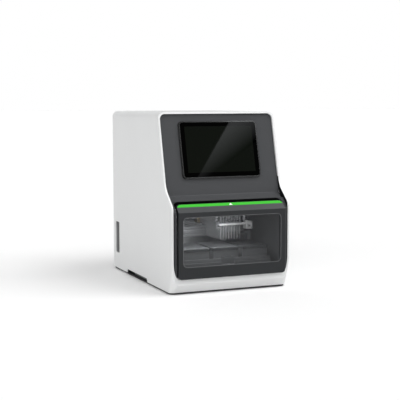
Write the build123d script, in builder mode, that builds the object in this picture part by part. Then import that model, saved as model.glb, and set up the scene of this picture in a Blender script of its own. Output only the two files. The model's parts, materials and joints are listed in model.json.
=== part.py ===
"""Benchtop nucleic acid extractor: cover, touch screen, flip-up door and magnetic rod mechanism.

Millimetres. +Z is up, -Y is the front, +X is the operator's right. The origin lies on the bench,
under the middle of the machine.
"""
from build123d import *
import math
import os

os.makedirs("parts", exist_ok=True)

# ------------------------------------------------------------------ driving dimensions
# Outer cover
cover_width = 375.0
cover_back = 279.0  # rear face behind the origin
cover_top = 525.0
rim_front = 269.5  # plane of the lower band, in front of the origin
wall = 3.2
rim_width = 5.3
skirt_bottom = 6.0
skirt_foot = 250.5  # front of the undercut skirt where it meets the base
band_bottom = 30.0  # lower edge of the band
band_corner_x = 22.0  # lower corners of the band are quarter ellipses
band_corner_z = 65.0
opening_bottom = 47.0
opening_corner_x = 17.0
opening_corner_z = 48.0
opening_top_margin = 6.0
opening_top_radius = 16.0
skirt_blend = 34.5  # depth over which the skirt's corners run out into the sides
brow_height = 256.0  # where the front starts to lean back
brow_radius = 25.0
waist_front = 212.9  # concave bend between the lower and the upper front
waist_height = 303.5
waist_radius = 60.0
lean_angle = 13.92  # lean of the upper front from the vertical
top_edge_radius = 19.0
back_edge = 4.0

# Base and feet
base_thickness = 4.0
base_inset = 1.75
base_corner = 14.0
foot_height = skirt_bottom - base_thickness
foot_diameter = 36.0
foot_side_inset = 37.5
foot_front_inset = 35.5
foot_back_inset = 39.0

# Side grips and side notches of the cover
grip_length = 38.0
grip_height = 104.0
grip_y = 233.5
grip_z = 109.0
grip_corner = 6.0
grip_depth = 22.0
grip_flange = 6.0
notch_length = 193.0
notch_y = 40.0
notch_top = 17.0
notch_corner = 8.0

# Front fascia
fascia_recess = 6.2  # how far the fascia lies behind the cover's rim
fascia_thickness = 3.0
crease_drop = 21.5  # from the waist down to the crease
crease_radius = 6.0
shelf_drop = 12.5  # from the crease down to the lip over the door
lip_thickness = 1.5
lip_reach = 4.0  # how far the lip stands out from the wall behind the hinge
lip_gap = 6.0  # dark gap between the lip and the door
hinge_wall_gap = 18.5  # from the hinge axis back to the wall behind it
hinge_wall_drop = 21.0
column_width = 9.5
column_groove = 3.7
column_groove_depth = 3.0
wedge_inset = 6.0  # inset of the clearance beside the shelf

# Screen
glass_width = 244.4
glass_height = 164.4
glass_thickness = 2.0
glass_radius = 8.0
bezel_lip = 2.6  # width of the frame round the glass
bezel_proud = 6.5
bezel_step = 2.0
bezel_base = 2.0
panel_margin = 9.2
panel_thickness = 5.0
screen_height = 412.75  # height of the screen's middle
screen_fit = 0.2

# Door
door_gap = 3.0  # gap between door and columns
door_front = 279.0
door_foot_gap = 0.8
door_depth = 17.0
door_bevel_rise = 12.5
door_bevel_run = 14.5
strip_face_rise = 9.5  # the narrow face over the bevel carries the light strip
strip_face_run = 8.0
door_skin = 4.0
door_rib = 3.0
door_corner = 9.0
door_top_corner = 12.0
window_side = 13.4  # from the window to the door's side
window_head = 13.5  # from the window up to the bevel
window_foot = 34.2  # from the window down to the door's lower edge
window_radius = 11.5
window_recess = 0.6
window_lap = 3.0
window_flange = 2.5
strip_end_gap = 2.2
strip_corner = 14.0
strip_lower_edge = 2.4
strip_upper_edge = 0.6
strip_thickness = 2.0
strip_proud = 0.3
hinge_inset = 2.0  # from the door's top edge back to the hinge axis
hinge_drop = 15.0
hinge_pin_diameter = 5.0
hinge_pin_reach = 7.0  # length of pin inside the column
hinge_bore_spare = 0.5
knuckle_reach = 10.0  # from the hinge axis back to the knuckle's flat
knuckle_crown = 4.0  # flat on top of the door behind the hinge axis
knuckle_rise = 9.0
knuckle_fall = 7.0
knuckle_foot = 15.0  # where the knuckle runs out into the door's back
pocket_drop = 17.0  # from the hinge axis down to the hollow of the door
strip_land = 0.4
hinge_pin_grip = 12.0  # length of pin inside the door
running_fit = 0.05  # radial play of a pin in its bore

# Chamber
chamber_side_gap = 9.8  # between the cover's wall and the chamber's wall
chamber_back = 89.5
sheet = 2.0
deck_top = 60.0
deck_front_gap = 6.0
wall_head_room = 75.0
wall_front_gap = 0.5
deck_flange_inset = 15.0
deck_side_gap = 10.0

# Tray and plates
tray_half = 140.0
tray_front = 245.5
tray_back = 90.5
tray_bottom = 76.0
tray_lip_top = 86.0
tray_rim_y = 235.5
tray_rim_top = 95.5
tray_side_top = 90.0
tray_travel = 65.0
heater_thickness = 4.0
plate_length = 127.8
plate_width = 85.5
plate_pitch = 94.35
plate_count = 3
plate_front = 227.5
plate_total_height = 44.0
plate_skirt_height = 6.0
plate_body_inset = 1.6
plate_corner = 3.2
runner_x = 110.0
runner_width = 12.0
rail_height = 8.0
slide_gap = 0.1
tray_screw_z = 36.0
tray_nut_y = -190.0
tray_nut_half = 8.0
tray_nut_length = 20.0
tray_nut_drop = 9.0  # from the screw's axis down to the nut's foot
slot_end_gap = 5.0
slot_side_gap = 2.0
tray_bearing_gap = 10.0
tray_motor_y = -60.0
tray_motor_plate = 3.0
tray_slot_x = 70.0
tray_slot_length = 26.0
tray_slot_height = 3.0
runner_front_gap = 12.0
runner_back_gap = 6.0
rail_front_gap = 8.0
heater_edge = 0.6
latch_half = 19.0
latch_top = 103.0
latch_thickness = 3.0
latch_y = -240.0
latch_z = 81.0
latch_pin_diameter = 3.0
latch_side_gap = 0.5
latch_ear = 3.0
latch_notch_depth = 10.0

# Traverse
beam_y = 37.5
beam_depth = 40.0
beam_bottom = 128.0
beam_height = 30.0
x_rail_width = 12.0
x_rail_height = 8.0
x_rail_end_gap = 14.5
block_length = 40.0
block_depth = 28.0
block_height = 16.0
x_screw_y = 70.0
x_screw_z = 178.0
screw_diameter = 8.0
motor_size = 35.2
motor_length = 36.0
motor_corner = 4.0
journal_diameter = 5.0
journal_length = 8.0
screw_play = 0.3
screw_clearance = 1.5
nut_size = 14.0
bearing_width = 8.0
bearing_size = 22.0
beam_groove_depth = 3.0
beam_groove_height = 5.0
rail_edge = 1.0
block_rise = 2.0  # from the beam up to the guide block
x_nut_half = 12.0
x_nut_front = 60.0

# Head
head_x = 48.0
rod_count = 8
rod_pitch = 9.0
rod_y = -150.5
rod_diameter = 3.0
rod_shank_diameter = 6.2
rod_bottom = 141.0
rod_shank_bottom = 190.0
rod_sides = 8
sleeve_bore = 3.8
sleeve_top_diameter = 6.0
sleeve_tip_diameter = 4.4
sleeve_tip = 137.6
sleeve_floor = 140.2
sleeve_point_diameter = 2.6
sleeve_point_height = 1.8
bar_bottom = 181.4
bar_height = 5.2
bar_left = 9.9
bar_right = 96.9
bar_depth = 11.0
comb_strip_height = 2.0
post_bottom = 194.0
post_left_diameter = 9.6
post_right_diameter = 12.0
post_left_x = 2.5
post_right_x = 94.5
foot_left = 4.5  # flat foot of the left post
foot_bottom = 170.0
foot_round = 1.5
clamp_half_depth = 9.5
clamp_right = 118.5
clamp_neck_right = 104.0
clamp_bottom = 168.0
clamp_top = 191.0
clamp_hole = 7.0
clamp_hole_x = 108.2
clamp_hole_z = 177.0
strip_margin_x = 2.0  # strip round the row of sleeves
strip_margin_y = 1.5
carrier_bottom = 240.0
carrier_thickness = 6.0
rod_plate_bottom = 262.0
rod_plate_thickness = 8.0
head_half = 60.0
head_plate_front = 126.5
head_plate_thickness = 6.0
head_plate_bottom = 220.0
head_plate_top = 394.0
z_rail_offset = 46.0
z_rail_width = 12.0
z_rail_depth = 8.0
z_block_width = 26.0
z_block_height = 18.0
z_screw_offset = 22.0
z_screw_y = -139.5
bracket_thickness = 6.0
gusset_x = 38.5
gusset_thickness = 4.0
gusset_bottom = 130.0
gusset_front = -140.5
gusset_back = 9.5
gusset_brow = 330.0
gusset_waist = 205.0
gusset_tail = 192.0
gusset_beam_gap = 3.5
gusset_nose_drop = 20.0
gusset_plate_drop = 4.0
gusset_rail_gap = 2.0
comb_screw_bottom = 228.0
rod_screw_bottom = 244.0
lift_front = -158.5
lift_back = -137.0
lift_tongue_y = -134.0
lift_tongue_depth = 8.0
z_block_front = -141.0
z_block_gap = 1.0
comb_nut_height = 16.0
rod_nut_height = 18.0
rod_slot_play = 1.8
head_corner = 4.0
bracket_spare = 6.0  # width of the motor bracket beyond its motors
arm_front = -137.0
arm_back = -131.0
arm_right = 122.5
arm_bottom = 152.0
arm_top = 158.0
arm_flag_left = 111.0
arm_flag_bottom = 132.0
arm_flag_top = 159.0

# Rear
panel_sheet = 2.0
rear_opening_side = 27.5
rear_opening_foot = 27.0
rear_opening_head = 28.0
rear_lap = 8.0
fan_size = 80.0
fan_depth = 25.0
fan_bore = 76.0
fan_hub_radius = 16.0
fan_hub_length = 14.0
fan_hub_y = 12.5  # middles of hub and shaft behind the fan's inner side
fan_shaft_radius = 2.0
fan_shaft_length = 6.0
fan_shaft_y = 3.5
fan_strut = 4.0
fan_seat_radius = 14.0
blade_count = 7
blade_middle = 25.0
blade_length = 21.0
blade_sheet = 2.0
blade_depth = 11.0
blade_start = 7.0
guard_radii = (15.0, 27.0, 39.0)
guard_wire = 2.0
guard_spoke_middle = 29.0
guard_spoke_length = 34.0
guard_ear_middle = 49.0
guard_ear_length = 8.0
guard_ear_width = 5.0
fan_x = 90.0
fan_z = 400.0
inlet_x = -110.0
inlet_z = 78.0
ports_x = -20.0
ports_z = 70.0
inlet_body_half = 22.0
inlet_body_half_height = 29.0
inlet_depth = 24.0
inlet_flange_width = 50.0
inlet_flange_height = 64.0
inlet_flange_sheet = 2.5
socket_drop = 11.0
socket_width = 30.0
socket_height = 21.0
socket_depth = 19.0
switch_rise = 17.0
switch_well_half = 12.0
switch_well_half_height = 8.0
switch_well_depth = 12.0
rocker_pivot_depth = 4.0
rocker_angle = 8.0
rocker_pin_radius = 1.5
rocker_half = 11.4
rocker_pin_half = 13.5
rocker_bore_half = 14.0
rocker_crest = (6.6, 6.8)  # crests, middle and back of the rocker's section
rocker_saddle = 4.8
rocker_back = (0.5, 5.6)
rocker_keel = -2.5
ports_width = 56.0
ports_height = 20.0
ports_depth = 18.0
ports_lap = 3.0
port_pitch = 18.0
port_width = 13.0
port_small_height = 6.0
port_large_height = 12.0
port_depth = 12.0
vent_x = -80.0
vent_length = 70.0
vent_width = 4.0
vent_pitch = 9.0
vent_count = 8

# Electronics
supply_x = -100.0
supply_width = 100.0
supply_back_gap = 21.0  # from the cover's rear face
supply_length = 150.0
supply_height = 42.0
supply_slot_pitch = 12.0
supply_slot_count = 9
supply_slot_length = 70.0
supply_slot_width = 4.0
supply_slot_depth = 1.5
board_x = 40.0
board_z = 220.0
board_width = 170.0
board_height = 130.0
board_sheet = 1.6
standoff_x = 150.0
standoff_z = 110.0
standoff_size = 7.0
standoff_height = 6.0

# ------------------------------------------------------------------ derived sizes
lean = math.radians(lean_angle)
half_width = cover_width / 2
opening_half = half_width - rim_width
inner_half = half_width - wall
opening_top = cover_top - opening_top_margin
skirt_back = rim_front - skirt_blend
skirt_slope = (band_bottom - skirt_bottom) / (rim_front - skirt_foot)
skirt_low = band_bottom - skirt_slope * skirt_blend
crease_height = waist_height - crease_drop
lip_height = crease_height - shelf_drop
lip_bottom = lip_height - lip_thickness
column_half = opening_half - column_width
door_half = column_half - door_gap
door_bottom = opening_bottom + door_foot_gap
door_back = door_front - door_depth
door_top = lip_bottom - lip_gap
door_bevel_top = door_top - strip_face_rise
door_bevel_bottom = door_bevel_top - door_bevel_rise
door_bevel_front = door_front - door_bevel_run
door_top_front = door_bevel_front - strip_face_run
window_width = 2 * (door_half - window_side)
window_bottom = door_bottom + window_foot
window_height = door_bevel_bottom - window_head - window_bottom
window_middle = window_bottom + window_height / 2
hinge_y = hinge_inset - door_top_front
hinge_z = door_top - hinge_drop
hinge_wall_front = -hinge_y - hinge_wall_gap
hinge_wall_bottom = hinge_z - hinge_wall_drop
lip_front = hinge_wall_front + lip_reach
fascia_back = hinge_wall_front - fascia_thickness
bezel_width = glass_width + 2 * (bezel_lip + bezel_step)
bezel_height = glass_height + 2 * (bezel_lip + bezel_step)
bezel_radius = glass_radius + bezel_lip + bezel_step
panel_width = glass_width - 2 * panel_margin
panel_height = glass_height - 2 * panel_margin
chamber_half = inner_half - chamber_side_gap
wall_top = cover_top - wall_head_room
deck_bottom = deck_top - sheet
deck_front = door_back - deck_front_gap
x_rail_length = 2 * (chamber_half - x_rail_end_gap)
tray_top = tray_bottom + sheet
plate_bottom = tray_top + heater_thickness
beam_top = beam_bottom + beam_height
bar_top = bar_bottom + bar_height
sleeve_point_angle = math.degrees(
    math.atan2(sleeve_tip_diameter - sleeve_point_diameter, 2 * sleeve_point_height)
)
sleeve_taper_height = bar_top - sleeve_tip - sleeve_point_height
sleeve_taper = math.degrees(math.atan2(sleeve_top_diameter - sleeve_tip_diameter, 2 * sleeve_taper_height))
rod_row = (rod_count - 1) * rod_pitch
rod_positions = [head_x - rod_row / 2 + i * rod_pitch for i in range(rod_count)]
plate_positions = [(i - (plate_count - 1) / 2) * plate_pitch for i in range(plate_count)]
comb_screw_x = head_x - z_screw_offset
rod_screw_x = head_x + z_screw_offset
rear_opening_width = 2 * (half_width - rear_opening_side)
rear_opening_height = cover_top - rear_opening_head - rear_opening_foot
rear_opening_z = rear_opening_foot + rear_opening_height / 2
rear_panel_back = cover_back - wall
rear_panel_front = rear_panel_back - panel_sheet


def rim_y(z):
    """Y of the cover's leaning upper front at height z."""
    return -waist_front + math.tan(lean) * (z - waist_height)


def fascia_y(z):
    """Y of the fascia's upper face at height z."""
    return rim_y(z) + fascia_recess / math.cos(lean)


# ------------------------------------------------------------------ shared builders
def block(x0, x1, y0, y1, z0, z1, mode=Mode.ADD):
    """A rectangular block between two corners, in the part being built."""
    with Locations(((x0 + x1) / 2, (y0 + y1) / 2, (z0 + z1) / 2)):
        Box(x1 - x0, y1 - y0, z1 - z0, mode=mode)


def shield(half, bottom, corner_x, corner_z, top, top_radius=0.0):
    """A front outline with quarter-ellipse lower corners and optional round upper corners."""
    with BuildSketch() as outline:
        with BuildLine():
            Line((-half + corner_x, bottom), (half - corner_x, bottom))
            EllipticalCenterArc(
                (half - corner_x, bottom + corner_z), corner_x, corner_z, start_angle=270, arc_size=90
            )
            Line((half, bottom + corner_z), (half, top - top_radius))
            if top_radius > 0:
                RadiusArc((half, top - top_radius), (half - top_radius, top), -top_radius)
            Line((half - top_radius, top), (-half + top_radius, top))
            if top_radius > 0:
                RadiusArc((-half + top_radius, top), (-half, top - top_radius), -top_radius)
            Line((-half, top - top_radius), (-half, bottom + corner_z))
            EllipticalCenterArc(
                (-half + corner_x, bottom + corner_z), corner_x, corner_z, start_angle=180, arc_size=90
            )
        make_face()
    return outline.sketch


def shield_top(half, bottom, top, radius):
    """An outline with square lower and round upper corners."""
    with BuildSketch() as outline:
        with BuildLine():
            Polyline((-half, top - radius), (-half, bottom), (half, bottom), (half, top - radius))
            RadiusArc((half, top - radius), (half - radius, top), -radius)
            Line((half - radius, top), (-half + radius, top))
            RadiusArc((-half + radius, top), (-half, top - radius), -radius)
        make_face()
    return outline.sketch


def finish(builder, name):
    """Label a finished piece and write it."""
    builder.part.label = name
    export_step(builder.part, "parts/" + name + ".step")


# ------------------------------------------------------------------ outer cover
front_opening = shield(
    opening_half, opening_bottom, opening_corner_x, opening_corner_z, opening_top, opening_top_radius
)
cavity_front = skirt_back
with BuildPart() as cavity:
    with BuildSketch(Plane.YZ):
        with BuildLine():
            Polyline(
                (-cavity_front, skirt_bottom - 1),
                (-cavity_front, brow_height),
                (rim_y(waist_height) + 2 * fascia_recess, waist_height),
                (rim_y(cover_top - wall) + 2 * fascia_recess, cover_top - wall),
                (cover_back - wall, cover_top - wall),
                (cover_back - wall, skirt_bottom - 1),
                close=True,
            )
        make_face()
    extrude(amount=inner_half, both=True)
    fillet(cavity.edges().filter_by(Axis.Y).group_by(Axis.Z)[-1], top_edge_radius - wall)

with BuildPart() as outer_cover:
    with BuildSketch(Plane.XZ.offset(rim_front)):
        add(shield(half_width, band_bottom, band_corner_x, band_corner_z, cover_top + wall))
    with BuildSketch(Plane.XZ.offset(skirt_back)):
        add(shield(half_width, skirt_low, wall, 2 * wall, cover_top + wall))
    loft(ruled=True)
    block(-half_width, half_width, -skirt_back, cover_back, skirt_low, cover_top + wall)
    with BuildSketch(Plane.YZ):
        with BuildLine():
            FilletPolyline(
                (-rim_front, skirt_bottom),
                (-rim_front, brow_height),
                (-waist_front, waist_height),
                (rim_y(cover_top), cover_top),
                (cover_back, cover_top),
                (cover_back, skirt_bottom),
                radius=(0, brow_radius, waist_radius, 0, 0, 0),
                close=True,
            )
        make_face()
    extrude(amount=cover_width, both=True, mode=Mode.INTERSECT)
    fillet(outer_cover.edges().filter_by(Axis.Y).group_by(Axis.Z)[-1], top_edge_radius)
    back_outline = outer_cover.faces().sort_by(Axis.Y)[-1].edges().filter_by(
        lambda edge: edge.center().Z > skirt_bottom + 1
    )
    chamfer(back_outline, back_edge)
    add(cavity.part, mode=Mode.SUBTRACT)
    # the front opening, with the narrow rim round it
    with BuildSketch(Plane.XZ.offset(rim_front + 1)):
        add(front_opening)
    extrude(amount=-(rim_front + 1 + rim_y(cover_top) + 2 * fascia_recess), mode=Mode.SUBTRACT)
    # grips and lower notches in both sides
    with BuildSketch(Plane.YZ):
        with Locations((grip_y, grip_z)):
            RectangleRounded(grip_length, grip_height, grip_corner)
        with Locations((notch_y, skirt_bottom)):
            RectangleRounded(notch_length, 2 * (notch_top - skirt_bottom), notch_corner)
    extrude(amount=cover_width, both=True, mode=Mode.SUBTRACT)
    # opening for the rear panel
    with BuildSketch(Plane.XZ.offset(-cover_back - 1)):
        with Locations((0, rear_opening_z)):
            RectangleRounded(rear_opening_width, rear_opening_height, grip_corner)
    extrude(amount=2 * wall, mode=Mode.SUBTRACT)
finish(outer_cover, "outer_cover")

# ------------------------------------------------------------------ base and feet
with BuildPart() as base_plate:
    with BuildSketch(Plane.XY.offset(foot_height)):
        with Locations((0, (cover_back - skirt_foot) / 2)):
            RectangleRounded(
                cover_width - 2 * base_inset, cover_back + skirt_foot - 2 * base_inset, base_corner
            )
    extrude(amount=base_thickness)
finish(base_plate, "base_plate")


foot_places = [
    (side * (half_width - foot_side_inset), y, foot_height / 2)
    for side in (-1, 1)
    for y in (foot_front_inset - skirt_foot, cover_back - foot_back_inset)
]
with BuildPart() as rubber_feet:
    with Locations(foot_places):
        Cylinder(foot_diameter / 2, foot_height)
finish(rubber_feet, "rubber_feet")


# ------------------------------------------------------------------ side grips
with BuildPart() as grip_cups:
    for side in (-1, 1):
        face = Plane.YZ.offset(side * inner_half)
        # flange against the cover's wall
        with BuildSketch(face):
            with Locations((grip_y, grip_z)):
                Rectangle(grip_length + 2 * grip_flange, grip_height + 2 * grip_flange)
        extrude(amount=-side * sheet)
        # closed cup
        with BuildSketch(face):
            with Locations((grip_y, grip_z)):
                Rectangle(grip_length + 2 * sheet, grip_height + 2 * sheet)
        extrude(amount=-side * (grip_depth + sheet))
        with BuildSketch(face):
            with Locations((grip_y, grip_z)):
                RectangleRounded(grip_length, grip_height, grip_corner)
        extrude(amount=-side * grip_depth, mode=Mode.SUBTRACT)
finish(grip_cups, "grip_cups")

# ------------------------------------------------------------------ front fascia
slope_out = (0, -math.cos(lean), math.sin(lean))
screen_plane = Plane(origin=(0, fascia_y(screen_height), screen_height), x_dir=(1, 0, 0), z_dir=slope_out)
skin = fascia_thickness / math.cos(lean)
shelf_angle = math.atan2(crease_height - lip_height, lip_front + fascia_y(crease_height))
recess_corner = door_top_corner + door_gap
with BuildPart() as front_fascia:
    with BuildSketch(Plane.YZ):
        with BuildLine():
            FilletPolyline(
                (fascia_y(opening_top), opening_top),
                (fascia_y(crease_height), crease_height),
                (-lip_front, lip_height),
                (-lip_front, lip_bottom),
                (-hinge_wall_front, lip_bottom),
                (-hinge_wall_front, hinge_wall_bottom),
                (-fascia_back, hinge_wall_bottom),
                (-fascia_back, lip_height),
                (fascia_y(crease_height) + skin, crease_height + fascia_thickness * math.tan(shelf_angle)),
                (fascia_y(opening_top) + skin, opening_top),
                radius=(0, crease_radius, 0, 0, 0, 0, 0, 0, 0, 0),
                close=True,
            )
        make_face()
    extrude(amount=opening_half, both=True)
    # side columns beside the door, stepped next to the cover's rim
    with BuildSketch(Plane.YZ):
        with BuildLine():
            Polyline(
                (-rim_front, opening_bottom),
                (-rim_front, door_bevel_bottom),
                (-rim_front + door_bevel_run, door_bevel_top),
                (-lip_front, lip_bottom),
                (-fascia_back, lip_bottom),
                (-fascia_back, opening_bottom),
                close=True,
            )
        make_face()
    extrude(amount=opening_half, both=True)
    block(-column_half, column_half, -rim_front - 1, -hinge_wall_front, 0, lip_bottom, Mode.SUBTRACT)
    block(
        -column_half, column_half, -hinge_wall_front - 1, -fascia_back + 1,
        0, hinge_wall_bottom, Mode.SUBTRACT,
    )
    for side in (-1, 1):
        groove_inner = side * (opening_half - column_groove)
        groove_outer = side * (opening_half + 1)
        block(
            min(groove_inner, groove_outer), max(groove_inner, groove_outer),
            -rim_front - 1, -rim_front + column_groove_depth, 0, door_bevel_bottom, Mode.SUBTRACT,
        )
    # rounded upper corners of the door's recess
    with BuildSketch(Plane.XZ.offset(lip_front)):
        with Locations((0, lip_bottom - recess_corner / 2)):
            Rectangle(2 * column_half, recess_corner)
        add(
            shield_top(column_half, lip_bottom - 2 * recess_corner, lip_bottom, recess_corner),
            mode=Mode.SUBTRACT,
        )
    extrude(amount=-(lip_front - fascia_back))
    # tapered clearance between the fascia's shelf and the cover's rim
    with BuildSketch(Plane.XZ.offset(lip_front + 1)):
        for side in (-1, 1):
            with BuildLine():
                Polyline(
                    (side * (opening_half + 1), waist_height + 2 * wedge_inset),
                    (side * (opening_half - wedge_inset), crease_height),
                    (side * (opening_half - wedge_inset), lip_bottom),
                    (side * (opening_half + 1), lip_bottom),
                    close=True,
                )
            make_face()
    extrude(amount=-(lip_front + 1 - fascia_back + 2 * wedge_inset), mode=Mode.SUBTRACT)
    # cut for the display
    with BuildSketch(screen_plane.offset(1)):
        Rectangle(panel_width + 2 * screen_fit, panel_height + 2 * screen_fit)
    extrude(amount=-(fascia_thickness + 2), mode=Mode.SUBTRACT)
    # everything stays inside the cover's opening
    with BuildSketch(Plane.XZ.offset(rim_front + 1)):
        add(front_opening)
    extrude(amount=-(rim_front + 1 + rim_y(cover_top) + 2 * fascia_recess), mode=Mode.INTERSECT)
    # bearing holes for the door's hinge pins
    with BuildSketch(Plane.YZ):
        with Locations((hinge_y, hinge_z)):
            Circle(hinge_pin_diameter / 2 + running_fit)
    extrude(amount=column_half + hinge_pin_reach + hinge_bore_spare, both=True, mode=Mode.SUBTRACT)
finish(front_fascia, "front_fascia")

# ------------------------------------------------------------------ screen
with BuildPart() as screen_bezel:
    with BuildSketch(screen_plane):
        RectangleRounded(bezel_width, bezel_height, bezel_radius)
    extrude(amount=bezel_base)
    with BuildSketch(screen_plane):
        RectangleRounded(
            bezel_width - 2 * bezel_step, bezel_height - 2 * bezel_step, bezel_radius - bezel_step
        )
    extrude(amount=bezel_proud)
    with BuildSketch(screen_plane.offset(bezel_proud - glass_thickness)):
        RectangleRounded(glass_width + screen_fit, glass_height + screen_fit, glass_radius)
    extrude(amount=glass_thickness, mode=Mode.SUBTRACT)
    with BuildSketch(screen_plane):
        Rectangle(panel_width + 2 * screen_fit, panel_height + 2 * screen_fit)
    extrude(amount=bezel_proud, mode=Mode.SUBTRACT)
finish(screen_bezel, "screen_bezel")

with BuildPart() as touch_glass:
    with BuildSketch(screen_plane.offset(bezel_proud - glass_thickness)):
        RectangleRounded(glass_width, glass_height, glass_radius)
    extrude(amount=glass_thickness)
finish(touch_glass, "touch_glass")

with BuildPart() as display_panel:
    with BuildSketch(screen_plane.offset(bezel_proud - glass_thickness)):
        Rectangle(panel_width, panel_height)
    extrude(amount=-panel_thickness)
finish(display_panel, "display_panel")

# ------------------------------------------------------------------ door
knuckle_back = hinge_y + knuckle_reach
bevel_length = math.hypot(door_bevel_front - door_top_front, door_top - door_bevel_top)
strip_middle_y = -(door_bevel_front + door_top_front) / 2
strip_middle_z = (door_bevel_top + door_top) / 2
strip_out = (
    0,
    -(door_top - door_bevel_top) / bevel_length,
    (door_bevel_front - door_top_front) / bevel_length,
)
strip_half = door_half - strip_end_gap
pocket_bottom = door_bottom + door_rib
pocket_top = hinge_z - pocket_drop
strip_width = bevel_length - strip_lower_edge - strip_upper_edge
# local Y points down the strip's face, which puts the round corners at its top
strip_plane = Plane(origin=(0, strip_middle_y, strip_middle_z), x_dir=(-1, 0, 0), z_dir=strip_out)
strip_outline = shield(
    strip_half, strip_upper_edge - bevel_length / 2, strip_corner, strip_width - strip_land,
    bevel_length / 2 - strip_lower_edge,
)
with BuildPart() as door_frame:
    with BuildSketch(Plane.YZ):
        with BuildLine():
            Polyline(
                (-door_front, door_bottom),
                (-door_front, door_bevel_bottom),
                (-door_bevel_front, door_bevel_top),
                (-door_top_front, door_top),
                (hinge_y + knuckle_crown, door_top),
                (knuckle_back, hinge_z + knuckle_rise),
                (knuckle_back, hinge_z - knuckle_fall),
                (-door_back, hinge_z - knuckle_foot),
                (-door_back, door_bottom),
                close=True,
            )
        make_face()
    extrude(amount=door_half, both=True)
    with BuildSketch(Plane.XZ.offset(door_front + 1)):
        add(shield(door_half, door_bottom, door_corner, door_corner, door_top, door_top_corner))
    extrude(amount=-(door_front + 1 + knuckle_back), mode=Mode.INTERSECT)
    # hollow back, leaving a skin and a rib all round
    with BuildSketch(Plane.XZ.offset(door_back)):
        with Locations((0, (pocket_bottom + pocket_top) / 2)):
            Rectangle(2 * (door_half - door_rib), pocket_top - pocket_bottom)
    extrude(amount=door_depth - door_skin, mode=Mode.SUBTRACT)
    with BuildSketch(Plane.XZ.offset(door_back)):
        with Locations((0, window_middle)):
            RectangleRounded(window_width, window_height, window_radius)
    extrude(amount=door_depth + 1, mode=Mode.SUBTRACT)
    # seat of the light strip
    with BuildSketch(strip_plane.offset(strip_proud - strip_thickness)):
        add(strip_outline)
    extrude(amount=strip_thickness, mode=Mode.SUBTRACT)
    # bores of the hinge pins
    for side in (-1, 1):
        with BuildSketch(Plane.YZ.offset(side * door_half)):
            with Locations((hinge_y, hinge_z)):
                Circle(hinge_pin_diameter / 2)
        extrude(amount=-side * hinge_pin_grip, mode=Mode.SUBTRACT)
finish(door_frame, "door_frame")

with BuildPart() as door_window:
    with BuildSketch(Plane.XZ.offset(door_front - door_skin)):
        with Locations((0, window_middle)):
            RectangleRounded(window_width, window_height, window_radius)
    extrude(amount=door_skin - window_recess)
    with BuildSketch(Plane.XZ.offset(door_front - door_skin)):
        with Locations((0, window_middle)):
            Rectangle(window_width + 2 * window_lap, window_height + 2 * window_lap)
    extrude(amount=-window_flange)
finish(door_window, "door_window")

with BuildPart() as door_strip:
    with BuildSketch(strip_plane.offset(strip_proud - strip_thickness)):
        add(strip_outline)
    extrude(amount=strip_thickness)
finish(door_strip, "door_strip")


# pins fixed in the door and turning in the fascia's columns
with BuildPart() as hinge_pins:
    for side in (-1, 1):
        with BuildSketch(Plane.YZ.offset(side * (door_half - hinge_pin_grip))):
            with Locations((hinge_y, hinge_z)):
                Circle(hinge_pin_diameter / 2)
        extrude(amount=side * (hinge_pin_grip + door_gap + hinge_pin_reach))
finish(hinge_pins, "hinge_pins")

# ------------------------------------------------------------------ chamber
slot_back = tray_nut_y + tray_nut_length / 2 + tray_travel + slot_end_gap
slot_front = tray_nut_y - tray_nut_length / 2 - slot_end_gap
motor_half = motor_size / 2
tray_bearing_y = slot_front - tray_bearing_gap
deck_flange_half = column_half - deck_flange_inset
with BuildPart() as chamber_deck:
    with BuildSketch(Plane.XY.offset(deck_bottom)):
        with Locations((0, (chamber_back - fascia_back) / 2)):
            Rectangle(2 * chamber_half, chamber_back + fascia_back)
        with Locations((0, -(deck_front + fascia_back) / 2)):
            Rectangle(2 * column_half - 1, deck_front - fascia_back)
        with Locations((0, (slot_front + slot_back) / 2)):
            SlotOverall(
                slot_back - slot_front, 2 * (tray_nut_half + slot_side_gap),
                rotation=90, mode=Mode.SUBTRACT,
            )
    extrude(amount=sheet)
    block(-deck_flange_half, deck_flange_half, -deck_front, -deck_front + sheet, opening_bottom, deck_top)
    for side in (-1, 1):
        edge_inner = side * (chamber_half - sheet)
        edge_outer = side * chamber_half
        block(
            min(edge_inner, edge_outer), max(edge_inner, edge_outer),
            -fascia_back + deck_side_gap, chamber_back, skirt_bottom, deck_top,
        )
    # front bearing plate and rear motor plate of the tray drive, hanging from the deck
    block(
        -bearing_size / 2, bearing_size / 2,
        tray_bearing_y - bearing_width / 2, tray_bearing_y + bearing_width / 2,
        tray_screw_z - bearing_size / 2, deck_bottom,
    )
    block(
        -motor_half, motor_half, tray_motor_y - tray_motor_plate, tray_motor_y,
        tray_screw_z - motor_half, deck_bottom,
    )
    with BuildSketch(Plane.XZ.offset(-tray_bearing_y - bearing_width / 2)):
        with Locations((0, tray_screw_z)):
            Circle(screw_diameter / 2 + running_fit)
    extrude(amount=bearing_width + 2, mode=Mode.SUBTRACT)
    with BuildSketch(Plane.XZ.offset(-tray_motor_y)):
        with Locations((0, tray_screw_z)):
            Rectangle(screw_diameter + 2 * screw_clearance, screw_diameter + 2 * screw_clearance)
    extrude(amount=tray_motor_plate, mode=Mode.SUBTRACT)
finish(chamber_deck, "chamber_deck")


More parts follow.
